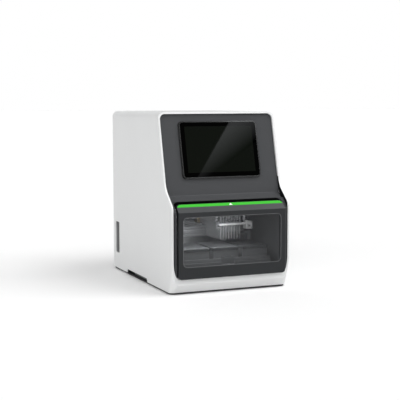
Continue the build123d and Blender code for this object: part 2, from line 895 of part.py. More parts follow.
def chamber_wall(side):
    """A side wall of the chamber, following the fascia at the front."""
    with BuildPart() as panel:
        with BuildSketch(Plane.YZ.offset(side * chamber_half)):
            with BuildLine():
                Polyline(
                    (-fascia_back + wall_front_gap, skirt_bottom),
                    (-fascia_back + wall_front_gap, lip_bottom),
                    (fascia_y(crease_height) + 4 * fascia_thickness, crease_height + 2 * fascia_thickness),
                    (fascia_y(wall_top) + 4 * fascia_thickness, wall_top),
                    (chamber_back + sheet, wall_top),
                    (chamber_back + sheet, skirt_bottom),
                    close=True,
                )
            make_face()
        extrude(amount=side * sheet)
    return panel


finish(chamber_wall(-1), "chamber_left_wall")
finish(chamber_wall(1), "chamber_right_wall")

with BuildPart() as chamber_back_wall:
    block(-chamber_half, chamber_half, chamber_back, chamber_back + sheet, skirt_bottom, wall_top)
finish(chamber_back_wall, "chamber_back_wall")

# ------------------------------------------------------------------ traverse
with BuildPart() as x_beam:
    block(
        -chamber_half, chamber_half, beam_y - beam_depth / 2, beam_y + beam_depth / 2, beam_bottom, beam_top
    )
    for height in (beam_bottom + beam_height / 4, beam_bottom + 3 * beam_height / 4):
        block(
            -chamber_half, chamber_half, beam_y - beam_depth / 2, beam_y - beam_depth / 2 + beam_groove_depth,
            height - beam_groove_height / 2, height + beam_groove_height / 2, Mode.SUBTRACT,
        )
finish(x_beam, "x_beam")

with BuildPart() as x_rail:
    block(
        -x_rail_length / 2, x_rail_length / 2, beam_y - x_rail_width / 2, beam_y + x_rail_width / 2,
        beam_top, beam_top + x_rail_height,
    )
    rail_sides = x_rail.edges().filter_by(Axis.X).group_by(Axis.Z)[-1]
    chamfer(rail_sides, rail_edge)
finish(x_rail, "x_rail")


def square_motor(face_plane, bore_depth):
    """A square stepper motor whose front face lies on the plane, with a bore for the shaft journal."""
    with BuildPart() as motor:
        with BuildSketch(face_plane) as section:
            Rectangle(motor_size, motor_size)
            chamfer(section.vertices(), motor_corner)
        extrude(amount=-motor_length)
        with BuildSketch(face_plane):
            Circle(journal_diameter / 2 + running_fit)
        extrude(amount=-bore_depth, mode=Mode.SUBTRACT)
    return motor


def lead_screw(motor_plane, length):
    """A plain round screw body with a journal that turns in the motor behind the plane."""
    with BuildPart() as screw:
        with BuildSketch(motor_plane.offset(screw_play)):
            Circle(screw_diameter / 2)
        extrude(amount=length - screw_play)
        with BuildSketch(motor_plane.offset(screw_play)):
            Circle(journal_diameter / 2)
        extrude(amount=-journal_length - screw_play)
    return screw


bore_depth = journal_length + 1
x_motor_right = -chamber_half + motor_length
x_motor_plane = Plane(origin=(x_motor_right, x_screw_y, x_screw_z), x_dir=(0, 1, 0), z_dir=(1, 0, 0))
finish(square_motor(x_motor_plane, bore_depth), "x_motor")

x_bearing_left = chamber_half - bearing_width
with BuildPart() as x_bearing:
    with BuildSketch(Plane.YZ.offset(x_bearing_left)):
        with Locations((x_screw_y, x_screw_z)):
            Rectangle(bearing_size, bearing_size)
            Circle(screw_diameter / 2 + running_fit, mode=Mode.SUBTRACT)
    extrude(amount=bearing_width)
finish(x_bearing, "x_bearing")

finish(lead_screw(x_motor_plane, x_bearing_left + bearing_width / 2 - x_motor_right), "x_screw")

with BuildPart() as rail_block:
    block_left = gusset_x + gusset_thickness / 2
    block(
        block_left, block_left + block_length, beam_y - block_depth / 2, beam_y + block_depth / 2,
        beam_top + block_rise, beam_top + block_rise + block_height,
    )
    block(
        block_left, block_left + block_length,
        beam_y - x_rail_width / 2 - screw_play, beam_y + x_rail_width / 2 + screw_play,
        beam_top + block_rise, beam_top + x_rail_height + screw_play, Mode.SUBTRACT,
    )
finish(rail_block, "rail_block")

with BuildPart() as x_nut:
    block(
        gusset_x - x_nut_half, gusset_x + x_nut_half, x_nut_front, x_screw_y + x_nut_half,
        x_screw_z - x_nut_half, x_screw_z + x_nut_half,
    )
    with BuildSketch(Plane.YZ.offset(gusset_x - x_nut_half)):
        with Locations((x_screw_y, x_screw_z)):
            Circle(screw_diameter / 2 + screw_play)
    extrude(amount=2 * x_nut_half, mode=Mode.SUBTRACT)
finish(x_nut, "x_nut")

# ------------------------------------------------------------------ head frame
head_plate_y0 = -head_plate_front
head_plate_y1 = -head_plate_front + head_plate_thickness
with BuildPart() as head_gusset:
    with BuildSketch(Plane.YZ.offset(gusset_x - gusset_thickness / 2)):
        with BuildLine():
            FilletPolyline(
                (gusset_front, gusset_bottom),
                (gusset_front, head_plate_bottom - gusset_nose_drop),
                (head_plate_y0, head_plate_bottom - gusset_plate_drop),
                (head_plate_y1, head_plate_bottom - gusset_plate_drop),
                (head_plate_y1, gusset_brow),
                (beam_y - block_depth / 2, gusset_waist),
                (x_nut_front, gusset_tail),
                (x_nut_front, beam_top + gusset_beam_gap),
                (gusset_back, beam_top + gusset_beam_gap),
                (gusset_back, gusset_bottom),
                radius=(4, 4, 0, 0, 6, 30, 0, 0, 4, 8),
                close=True,
            )
        make_face()
    extrude(amount=gusset_thickness)
    # clearance over the rail
    block(
        gusset_x - gusset_thickness, gusset_x + gusset_thickness,
        beam_y - x_rail_width / 2 - gusset_rail_gap, beam_y + x_rail_width / 2 + gusset_rail_gap,
        beam_top, beam_top + x_rail_height + gusset_rail_gap, Mode.SUBTRACT,
    )
finish(head_gusset, "head_gusset")

with BuildPart() as head_plate:
    with BuildSketch(Plane.XZ.offset(head_plate_front)):
        with Locations((head_x, (head_plate_bottom + head_plate_top) / 2)):
            RectangleRounded(2 * head_half, head_plate_top - head_plate_bottom, head_corner)
    extrude(amount=-head_plate_thickness)
finish(head_plate, "head_plate")


# vertical guide rails on the head plate
with BuildPart() as z_rails:
    for x in (head_x - z_rail_offset, head_x + z_rail_offset):
        block(
            x - z_rail_width / 2, x + z_rail_width / 2, -head_plate_front - z_rail_depth, -head_plate_front,
            head_plate_bottom + 2, head_plate_top - 2,
        )
    chamfer(z_rails.edges().filter_by(Axis.Z).group_by(Axis.Y)[0], rail_edge)
finish(z_rails, "z_rails")

motor_face = head_plate_top + bracket_thickness
with BuildPart() as motor_bracket:
    with BuildSketch(Plane.XY.offset(head_plate_top)):
        with Locations((head_x, z_screw_y)):
            Rectangle(2 * head_half, motor_size + bracket_spare)
        with Locations((comb_screw_x, z_screw_y), (rod_screw_x, z_screw_y)):
            Rectangle(nut_size, nut_size, mode=Mode.SUBTRACT)
    extrude(amount=bracket_thickness)
finish(motor_bracket, "motor_bracket")


def z_motor_plane(x):
    """The front face of a motor that stands on the bracket with its shaft down."""
    return Plane(origin=(x, z_screw_y, motor_face), x_dir=(1, 0, 0), z_dir=(0, 0, -1))


finish(square_motor(z_motor_plane(comb_screw_x), bore_depth), "comb_motor")
finish(square_motor(z_motor_plane(rod_screw_x), bore_depth), "rod_motor")

finish(lead_screw(z_motor_plane(comb_screw_x), motor_face - comb_screw_bottom), "comb_screw")
finish(lead_screw(z_motor_plane(rod_screw_x), motor_face - rod_screw_bottom), "rod_screw")

with BuildPart() as sensor_arm:
    block(gusset_x + gusset_thickness / 2, arm_right, arm_front, arm_back, arm_bottom, arm_top)
    block(arm_flag_left, arm_right, arm_front, arm_back, arm_flag_bottom, arm_flag_top)
finish(sensor_arm, "sensor_arm")


# ------------------------------------------------------------------ comb carrier and rod plate
def lift_plate(bottom, thickness, nut_x, clear_x, rod_slot, nut_height):
    """A lifting plate with two guide blocks, a screw nut and clearance for the other screw."""
    with BuildPart() as plate:
        with BuildSketch(Plane.XY.offset(bottom)):
            with Locations((head_x, (lift_front + lift_back) / 2)):
                Rectangle(2 * head_half, lift_back - lift_front)
            with Locations((head_x, lift_tongue_y)):
                Rectangle(2 * (z_rail_offset - z_block_width / 2 - z_block_gap), lift_tongue_depth)
        extrude(amount=thickness)
        for x in (head_x - z_rail_offset, head_x + z_rail_offset):
            block(
                x - z_block_width / 2, x + z_block_width / 2, z_block_front, -head_plate_front - z_block_gap,
                bottom, bottom + z_block_height,
            )
            block(
                x - z_rail_width / 2 - screw_play, x + z_rail_width / 2 + screw_play,
                -head_plate_front - z_rail_depth - screw_play, -head_plate_front,
                bottom, bottom + z_block_height, Mode.SUBTRACT,
            )
        block(
            nut_x - nut_size / 2, nut_x + nut_size / 2, z_screw_y - nut_size / 2, z_screw_y + nut_size / 2,
            bottom, bottom + nut_height,
        )
        with BuildSketch(Plane.XY.offset(bottom)):
            with Locations((nut_x, z_screw_y)):
                Circle(screw_diameter / 2 + screw_play)
            with Locations((clear_x, z_screw_y)):
                Rectangle(screw_diameter + 2 * screw_clearance, screw_diameter + 2 * screw_clearance)
        extrude(amount=nut_height, mode=Mode.SUBTRACT)
        if rod_slot > 0:
            with BuildSketch(Plane.XY.offset(bottom)):
                with Locations((head_x, rod_y)):
                    SlotCenterToCenter(rod_row, rod_slot)
            extrude(amount=thickness, mode=Mode.SUBTRACT)
    return plate


finish(
    lift_plate(
        carrier_bottom, carrier_thickness, comb_screw_x, rod_screw_x, rod_shank_diameter + rod_slot_play,
        comb_nut_height,
    ),
    "comb_carrier",
)
finish(
    lift_plate(rod_plate_bottom, rod_plate_thickness, rod_screw_x, comb_screw_x, 0, rod_nut_height),
    "rod_plate",
)

rod_places = [(x, rod_y) for x in rod_positions]
with BuildPart() as magnet_rods:
    with BuildSketch(Plane.XY.offset(rod_bottom)):
        with Locations(rod_places):
            RegularPolygon(rod_diameter / 2, rod_sides)
    extrude(amount=rod_shank_bottom - rod_bottom)
    with BuildSketch(Plane.XY.offset(rod_shank_bottom)):
        with Locations(rod_places):
            RegularPolygon(rod_shank_diameter / 2, rod_sides)
    extrude(amount=rod_plate_bottom - rod_shank_bottom)
finish(magnet_rods, "magnet_rods")


bar_y0 = rod_y - bar_depth / 2
bar_y1 = rod_y + bar_depth / 2
clamp_y0 = rod_y - clamp_half_depth
clamp_y1 = rod_y + clamp_half_depth
# round posts that hang from the comb carrier; the left one ends in a flat foot
with BuildPart() as comb_post_left:
    with Locations((post_left_x, rod_y, (post_bottom + carrier_bottom) / 2)):
        Cylinder(post_left_diameter / 2, carrier_bottom - post_bottom)
    with BuildSketch(Plane.XZ.offset(-bar_y0)):
        with BuildLine():
            FilletPolyline(
                (foot_left, post_bottom),
                (foot_left, foot_bottom),
                (bar_left, foot_bottom),
                (bar_left, post_bottom),
                radius=(0, foot_round, foot_round, 0),
                close=True,
            )
        make_face()
    extrude(amount=-bar_depth)
finish(comb_post_left, "comb_post_left")

with BuildPart() as comb_post_right:
    with Locations((post_right_x, rod_y, (post_bottom + carrier_bottom) / 2)):
        Cylinder(post_right_diameter / 2, carrier_bottom - post_bottom)
finish(comb_post_right, "comb_post_right")

with BuildPart() as comb_bar:
    block(bar_left, bar_right, bar_y0, bar_y1, bar_bottom, bar_top)
    with BuildSketch(Plane.XY.offset(bar_bottom)):
        with Locations((head_x, rod_y)):
            SlotCenterToCenter(rod_row, sleeve_top_diameter + 2 * screw_play)
    extrude(amount=bar_height, mode=Mode.SUBTRACT)
finish(comb_bar, "comb_bar")

with BuildPart() as comb_clamp:
    block(bar_right, clamp_right, clamp_y0, clamp_y1, clamp_bottom, clamp_top)
    block(bar_right, clamp_neck_right, clamp_y0, clamp_y1, clamp_bottom, post_bottom)
    with BuildSketch(Plane.XZ.offset(-clamp_y0)):
        with Locations((clamp_hole_x, clamp_hole_z)):
            Rectangle(clamp_hole, clamp_hole)
    extrude(amount=-2 * clamp_half_depth, mode=Mode.SUBTRACT)
finish(comb_clamp, "comb_clamp")

sleeve_top = bar_top + comb_strip_height
comb_half_x = sleeve_top_diameter / 2 + strip_margin_x
comb_half_y = sleeve_top_diameter / 2 + strip_margin_y
with BuildPart() as tip_comb:
    # tapered sleeves with a blunt point
    with BuildSketch(Plane.XY.offset(sleeve_tip)):
        with Locations(rod_places):
            RegularPolygon(sleeve_point_diameter / 2, rod_sides)
    extrude(amount=sleeve_point_height, taper=-sleeve_point_angle)
    with BuildSketch(Plane.XY.offset(sleeve_tip + sleeve_point_height)):
        with Locations(rod_places):
            RegularPolygon(sleeve_tip_diameter / 2, rod_sides)
    extrude(amount=sleeve_taper_height, taper=-sleeve_taper)
    # strip that joins them and lies on the bar
    block(
        rod_positions[0] - comb_half_x, rod_positions[-1] + comb_half_x,
        rod_y - comb_half_y, rod_y + comb_half_y, bar_top, sleeve_top,
    )
    with BuildSketch(Plane.XY.offset(sleeve_top)):
        with Locations(rod_places):
            RegularPolygon(sleeve_bore / 2, rod_sides)
    extrude(amount=sleeve_floor - sleeve_top, mode=Mode.SUBTRACT)
finish(tip_comb, "tip_comb")

# ------------------------------------------------------------------ tray
with BuildPart() as plate_tray:
    block(-tray_half, tray_half, -tray_front, -tray_back, tray_bottom, tray_top)
    block(-tray_half, tray_half, -tray_front, -tray_front + sheet, tray_bottom, tray_lip_top)
    block(-tray_half, tray_half, -tray_rim_y, -tray_rim_y + sheet, tray_bottom, tray_rim_top)
    for side in (-1, 1):
        outer = side * tray_half
        inner = side * (tray_half - sheet)
        block(min(outer, inner), max(outer, inner), -tray_rim_y, -tray_back, tray_bottom, tray_side_top)
        # slots in the front lip
        with BuildSketch(Plane.XZ.offset(tray_front)):
            with Locations((side * tray_slot_x, (tray_top + tray_lip_top) / 2)):
                Rectangle(tray_slot_length, tray_slot_height)
        extrude(amount=-sheet, mode=Mode.SUBTRACT)
        # ears of the latch
        ear_inner = side * (latch_half + latch_side_gap)
        ear_outer = side * (latch_half + latch_side_gap + latch_ear)
        block(
            min(ear_inner, ear_outer), max(ear_inner, ear_outer),
            latch_y - latch_ear, latch_y + latch_ear, tray_top, latch_z + latch_ear,
        )
    block(
        -latch_half - latch_side_gap, latch_half + latch_side_gap, -tray_front - 1, -tray_front + sheet,
        tray_top, tray_lip_top + 1, Mode.SUBTRACT,
    )
    with BuildSketch(Plane.YZ):
        with Locations((latch_y, latch_z)):
            Circle(latch_pin_diameter / 2 + running_fit)
    extrude(amount=latch_half + latch_ear + 1, both=True, mode=Mode.SUBTRACT)
finish(plate_tray, "plate_tray")

with BuildPart() as tray_latch:
    with BuildSketch(Plane.YZ):
        with Locations((latch_y, latch_z)):
            Circle(latch_pin_diameter / 2)
    extrude(amount=latch_half + latch_ear, both=True)
    block(
        -latch_half, latch_half, latch_y - latch_thickness / 2, latch_y + latch_thickness / 2,
        latch_z - 1, latch_top,
    )
    # shallow notch in the top edge
    with BuildSketch(Plane.XZ.offset(-latch_y + latch_thickness)):
        with Locations((0, latch_top)):
            Rectangle(latch_half, latch_notch_depth)
    extrude(amount=-2 * latch_thickness, mode=Mode.SUBTRACT)
finish(tray_latch, "tray_latch")

with BuildPart() as heater_plate:
    block(
        -tray_half + 2 * sheet, tray_half - 2 * sheet, -tray_rim_y + 2 * sheet, -tray_back - sheet,
        tray_top, plate_bottom,
    )
    chamfer(heater_plate.edges().group_by(Axis.Z)[-1], heater_edge)
finish(heater_plate, "heater_plate")


def deep_well_plate(x):
    """A lidded deep-well plate with a wider skirt at its foot."""
    middle = -plate_front + plate_length / 2
    with BuildPart() as plate:
        with BuildSketch(Plane.XY.offset(plate_bottom)):
            with Locations((x, middle)):
                RectangleRounded(plate_width, plate_length, plate_corner)
        extrude(amount=plate_skirt_height)
        with BuildSketch(Plane.XY.offset(plate_bottom + plate_skirt_height)) as body:
            with Locations((x, middle)):
                Rectangle(plate_width - 2 * plate_body_inset, plate_length - 2 * plate_body_inset)
            chamfer(body.vertices(), plate_corner - plate_body_inset)
        extrude(amount=plate_total_height - plate_skirt_height)
    return plate


for name, x in zip(("left", "middle", "right"), plate_positions):
    finish(deep_well_plate(x), "deep_well_plate_" + name)


# sliding shoes under the tray, and the rails on the deck that they run on
with BuildPart() as tray_runners:
    for x in (-runner_x, runner_x):
        block(
            x - runner_width / 2, x + runner_width / 2,
            -tray_rim_y + runner_front_gap, -tray_back - runner_back_gap,
            deck_top + rail_height + slide_gap, tray_bottom,
        )
finish(tray_runners, "tray_runners")

with BuildPart() as tray_rails:
    for x in (-runner_x, runner_x):
        block(
            x - runner_width / 2, x + runner_width / 2,
            -tray_rim_y + rail_front_gap, -tray_back + tray_travel,
            deck_top, deck_top + rail_height,
        )
finish(tray_rails, "tray_rails")

with BuildPart() as tray_nut:
    block(
        -tray_nut_half, tray_nut_half, tray_nut_y - tray_nut_length / 2, tray_nut_y + tray_nut_length / 2,
        tray_screw_z - tray_nut_drop, tray_bottom,
    )
    with BuildSketch(Plane.XZ.offset(-tray_nut_y - tray_nut_length)):
        with Locations((0, tray_screw_z)):
            Circle(screw_diameter / 2 + screw_play)
    extrude(amount=2 * tray_nut_length, mode=Mode.SUBTRACT)
finish(tray_nut, "tray_nut")

tray_motor_plane = Plane(origin=(0, tray_motor_y, tray_screw_z), x_dir=(1, 0, 0), z_dir=(0, -1, 0))
finish(square_motor(tray_motor_plane, bore_depth), "tray_motor")
finish(lead_screw(tray_motor_plane, tray_motor_y - tray_bearing_y), "tray_screw")

# ------------------------------------------------------------------ rear panel and its fittings
with BuildPart() as rear_panel:
    with BuildSketch(Plane.XZ.offset(-rear_panel_back)):
        with Locations((0, rear_opening_z)):
            RectangleRounded(
                rear_opening_width + 2 * rear_lap, rear_opening_height + 2 * rear_lap, grip_corner
            )
        with Locations((fan_x, fan_z)):
            Circle(fan_bore / 2, mode=Mode.SUBTRACT)
        with Locations((inlet_x, inlet_z)):
            Rectangle(2 * inlet_body_half, 2 * inlet_body_half_height, mode=Mode.SUBTRACT)
        with Locations((ports_x, ports_z)):
            Rectangle(ports_width, ports_height, mode=Mode.SUBTRACT)
        with GridLocations(0, vent_pitch, 1, vent_count):
            with Locations((vent_x, fan_z)):
                Rectangle(vent_length, vent_width, mode=Mode.SUBTRACT)
    extrude(amount=panel_sheet)
finish(rear_panel, "rear_panel")

fan_front = rear_panel_front - fan_depth
with BuildPart() as fan_housing:
    with BuildSketch(Plane.XZ.offset(-rear_panel_front)):
        with Locations((fan_x, fan_z)):
            Rectangle(fan_size, fan_size)
            Circle(fan_bore / 2, mode=Mode.SUBTRACT)
    extrude(amount=fan_depth)
    # struts that carry the motor hub at the inner side
    with BuildSketch(Plane.XZ.offset(-fan_front - fan_strut)):
        with Locations((fan_x, fan_z)):
            with PolarLocations(0, 3):
                Rectangle(fan_bore + 2, fan_strut)
            Circle(fan_seat_radius)
    extrude(amount=fan_strut)
    with BuildSketch(Plane.XZ.offset(-fan_front - fan_strut)):
        with Locations((fan_x, fan_z)):
            Circle(fan_shaft_radius + running_fit)
    extrude(amount=fan_strut, mode=Mode.SUBTRACT)
finish(fan_housing, "fan_housing")

with BuildPart() as fan_rotor:
    with Locations(Location((fan_x, fan_front + fan_hub_y, fan_z), (90, 0, 0))):
        Cylinder(fan_hub_radius, fan_hub_length)
    with Locations(Location((fan_x, fan_front + fan_shaft_y, fan_z), (90, 0, 0))):
        Cylinder(fan_shaft_radius, fan_shaft_length)
    with BuildSketch(Plane.XZ.offset(-fan_front - blade_start)):
        with Locations((fan_x, fan_z)):
            with PolarLocations(blade_middle, blade_count):
                Rectangle(blade_length, blade_sheet)
    extrude(amount=-blade_depth)
finish(fan_rotor, "fan_rotor")

with BuildPart() as fan_guard:
    with BuildSketch(Plane.XZ.offset(-rear_panel_back)):
        with Locations((fan_x, fan_z)):
            for radius in guard_radii:
                Circle(radius + guard_wire / 2)
                Circle(radius - guard_wire / 2, mode=Mode.SUBTRACT)
    extrude(amount=-guard_wire)
    with BuildSketch(Plane.XZ.offset(-rear_panel_back)):
        with Locations((fan_x, fan_z)):
            with PolarLocations(guard_spoke_middle, 4, start_angle=45):
                Rectangle(guard_spoke_length, guard_wire)
            with PolarLocations(guard_ear_middle, 4, start_angle=45):
                Rectangle(guard_ear_length, guard_ear_width)
    extrude(amount=-guard_wire)
finish(fan_guard, "fan_guard")

switch_z = inlet_z + switch_rise
rocker_pivot_y = rear_panel_back - rocker_pivot_depth
rocker_tilt = math.radians(rocker_angle)
with BuildPart() as power_inlet:
    with BuildSketch(Plane.XZ.offset(-rear_panel_back)):
        with Locations((inlet_x, inlet_z)):
            Rectangle(inlet_flange_width, inlet_flange_height)
    extrude(amount=-inlet_flange_sheet)
    block(
        inlet_x - inlet_body_half, inlet_x + inlet_body_half, rear_panel_back - inlet_depth, rear_panel_back,
        inlet_z - inlet_body_half_height, inlet_z + inlet_body_half_height,
    )
    # plug socket
    with BuildSketch(Plane.XZ.offset(-rear_panel_back - inlet_flange_sheet)):
        with Locations((inlet_x, inlet_z - socket_drop)):
            Rectangle(socket_width, socket_height)
    extrude(amount=socket_depth, mode=Mode.SUBTRACT)
    # well of the rocker switch
    block(
        inlet_x - switch_well_half, inlet_x + switch_well_half,
        rear_panel_back - switch_well_depth, rear_panel_back + inlet_flange_sheet + 1,
        switch_z - switch_well_half_height, switch_z + switch_well_half_height, Mode.SUBTRACT,
    )
    with BuildSketch(Plane.YZ.offset(inlet_x)):
        with Locations((rocker_pivot_y, switch_z)):
            Circle(rocker_pin_radius + running_fit)
    extrude(amount=rocker_bore_half, both=True, mode=Mode.SUBTRACT)
finish(power_inlet, "power_inlet")

# the rocker rests tipped to one side of its pivot
rocker_plane = Plane(
    origin=(inlet_x, rocker_pivot_y, switch_z),
    x_dir=(0, math.cos(rocker_tilt), math.sin(rocker_tilt)),
    z_dir=(1, 0, 0),
)
with BuildPart() as rocker_switch:
    with BuildSketch(rocker_plane):
        with BuildLine():
            Polyline(
                (rocker_crest[0], -rocker_crest[1]),
                (rocker_saddle, 0),
                rocker_crest,
                rocker_back,
                (rocker_keel, 0),
                (rocker_back[0], -rocker_back[1]),
                close=True,
            )
        make_face()
    extrude(amount=rocker_half, both=True)
    with BuildSketch(rocker_plane):
        Circle(rocker_pin_radius)
    extrude(amount=rocker_pin_half, both=True)
finish(rocker_switch, "rocker_switch")

with BuildPart() as port_block:
    with BuildSketch(Plane.XZ.offset(-rear_panel_back)):
        with Locations((ports_x, ports_z)):
            Rectangle(ports_width, ports_height)
    extrude(amount=ports_depth)
    with BuildSketch(Plane.XZ.offset(-rear_panel_front)):
        with Locations((ports_x, ports_z)):
            Rectangle(ports_width + 2 * ports_lap, ports_height + 2 * ports_lap)
    extrude(amount=panel_sheet)
    with BuildSketch(Plane.XZ.offset(-rear_panel_back)):
        with Locations((ports_x - port_pitch, ports_z), (ports_x, ports_z)):
            Rectangle(port_width, port_small_height)
        with Locations((ports_x + port_pitch, ports_z)):
            Rectangle(port_width, port_large_height)
    extrude(amount=port_depth, mode=Mode.SUBTRACT)
finish(port_block, "port_block")

supply_back = cover_back - supply_back_gap
with BuildPart() as power_supply:
    block(
        supply_x - supply_width / 2, supply_x + supply_width / 2, supply_back - supply_length, supply_back,
        skirt_bottom, skirt_bottom + supply_height,
    )
    with BuildSketch(Plane.XY.offset(skirt_bottom + supply_height)):
        with Locations((supply_x, supply_back - supply_length / 2)):
            with GridLocations(0, supply_slot_pitch, 1, supply_slot_count):
                Rectangle(supply_slot_length, supply_slot_width)
    extrude(amount=-supply_slot_depth, mode=Mode.SUBTRACT)
finish(power_supply, "power_supply")

with BuildPart() as control_board:
    with BuildSketch(Plane.XZ.offset(-chamber_back - sheet)):
        with Locations((board_x, board_z)):
            with GridLocations(standoff_x, standoff_z, 2, 2):
                Rectangle(standoff_size, standoff_size)
    extrude(amount=-standoff_height)
    with BuildSketch(Plane.XZ.offset(-chamber_back - sheet - standoff_height)):
        with Locations((board_x, board_z)):
            Rectangle(board_width, board_height)
    extrude(amount=-board_sheet)
finish(control_board, "control_board")
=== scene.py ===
import json
import math

import bmesh
import bpy
from mathutils import Matrix, Vector


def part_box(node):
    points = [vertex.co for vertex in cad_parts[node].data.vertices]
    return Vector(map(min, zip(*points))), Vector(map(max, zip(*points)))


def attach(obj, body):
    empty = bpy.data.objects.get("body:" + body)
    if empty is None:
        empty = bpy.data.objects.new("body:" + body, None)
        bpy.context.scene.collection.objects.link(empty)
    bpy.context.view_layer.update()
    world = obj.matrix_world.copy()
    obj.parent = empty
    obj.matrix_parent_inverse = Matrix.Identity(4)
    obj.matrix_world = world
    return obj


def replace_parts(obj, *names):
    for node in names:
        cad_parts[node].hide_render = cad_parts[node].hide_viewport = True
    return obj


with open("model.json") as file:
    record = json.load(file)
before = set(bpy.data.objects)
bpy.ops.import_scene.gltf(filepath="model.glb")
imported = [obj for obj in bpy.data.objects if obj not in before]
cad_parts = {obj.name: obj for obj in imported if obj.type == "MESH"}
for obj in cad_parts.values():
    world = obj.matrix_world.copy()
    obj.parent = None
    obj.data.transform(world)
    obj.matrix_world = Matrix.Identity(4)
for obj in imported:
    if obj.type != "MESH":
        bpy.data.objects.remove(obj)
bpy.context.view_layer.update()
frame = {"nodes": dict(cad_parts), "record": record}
nodes = frame["nodes"]
scene = bpy.context.scene

MM = 0.001


# ---------------------------------------------------------------- colours and materials
def lin(r, g=None, b=None):
    """A written sRGB colour, 0 to 255, as linear RGBA."""
    if g is None:
        g = b = r

    def one(c):
        c = c / 255
        return c / 12.92 if c <= 0.04045 else ((c + 0.055) / 1.055) ** 2.4

    return (one(r), one(g), one(b), 1.0)


def material(name, colour, rough, metallic=0.0, vary=0.06, scale=60.0, bump=0.15, bump_scale=900.0,
             rough_vary=0.08, edge=0.0006, coat=0.0, alpha=1.0, stretch=(1, 1, 1), specular=0.5,
             depth=0.0002):
    """A Principled material with mottled colour and roughness, fine surface bump and softened edges."""
    m = bpy.data.materials.new(name)
    m.use_nodes = True
    nt = m.node_tree
    bsdf = nt.nodes["Principled BSDF"]
    bsdf.inputs["Metallic"].default_value = metallic
    bsdf.inputs["Specular IOR Level"].default_value = specular
    bsdf.inputs["Coat Weight"].default_value = coat
    bsdf.inputs["Coat Roughness"].default_value = 0.08
    bsdf.inputs["Alpha"].default_value = alpha
    coords = nt.nodes.new("ShaderNodeTexCoord")
    mapping = nt.nodes.new("ShaderNodeMapping")
    mapping.inputs["Scale"].default_value = stretch
    nt.links.new(coords.outputs["Object"], mapping.inputs["Vector"])
    cloud = nt.nodes.new("ShaderNodeTexNoise")
    cloud.inputs["Scale"].default_value = scale
    cloud.inputs["Detail"].default_value = 4
    nt.links.new(mapping.outputs["Vector"], cloud.inputs["Vector"])
    ramp = nt.nodes.new("ShaderNodeValToRGB")
    ramp.color_ramp.elements[0].position = 0.25
    ramp.color_ramp.elements[1].position = 0.75
    ramp.color_ramp.elements[0].color = tuple(c * (1 - vary) for c in colour[:3]) + (1,)
    ramp.color_ramp.elements[1].color = tuple(min(1, c * (1 + vary)) for c in colour[:3]) + (1,)
    nt.links.new(cloud.outputs["Fac"], ramp.inputs["Fac"])
    nt.links.new(ramp.outputs["Color"], bsdf.inputs["Base Color"])
    spread = nt.nodes.new("ShaderNodeMapRange")
    spread.inputs["To Min"].default_value = max(0.02, rough - rough_vary)
    spread.inputs["To Max"].default_value = min(1.0, rough + rough_vary)
    nt.links.new(cloud.outputs["Fac"], spread.inputs["Value"])
    nt.links.new(spread.outputs["Result"], bsdf.inputs["Roughness"])
    grain = nt.nodes.new("ShaderNodeTexNoise")
    grain.inputs["Scale"].default_value = bump_scale
    grain.inputs["Detail"].default_value = 3
    nt.links.new(mapping.outputs["Vector"], grain.inputs["Vector"])
    bump_node = nt.nodes.new("ShaderNodeBump")
    bump_node.inputs["Strength"].default_value = bump
    bump_node.inputs["Distance"].default_value = depth
    nt.links.new(grain.outputs["Fac"], bump_node.inputs["Height"])
    if edge > 0:
        soft = nt.nodes.new("ShaderNodeBevel")
        soft.samples = 4
        soft.inputs["Radius"].default_value = edge
        nt.links.new(soft.outputs["Normal"], bump_node.inputs["Normal"])
    nt.links.new(bump_node.outputs["Normal"], bsdf.inputs["Normal"])
    return m


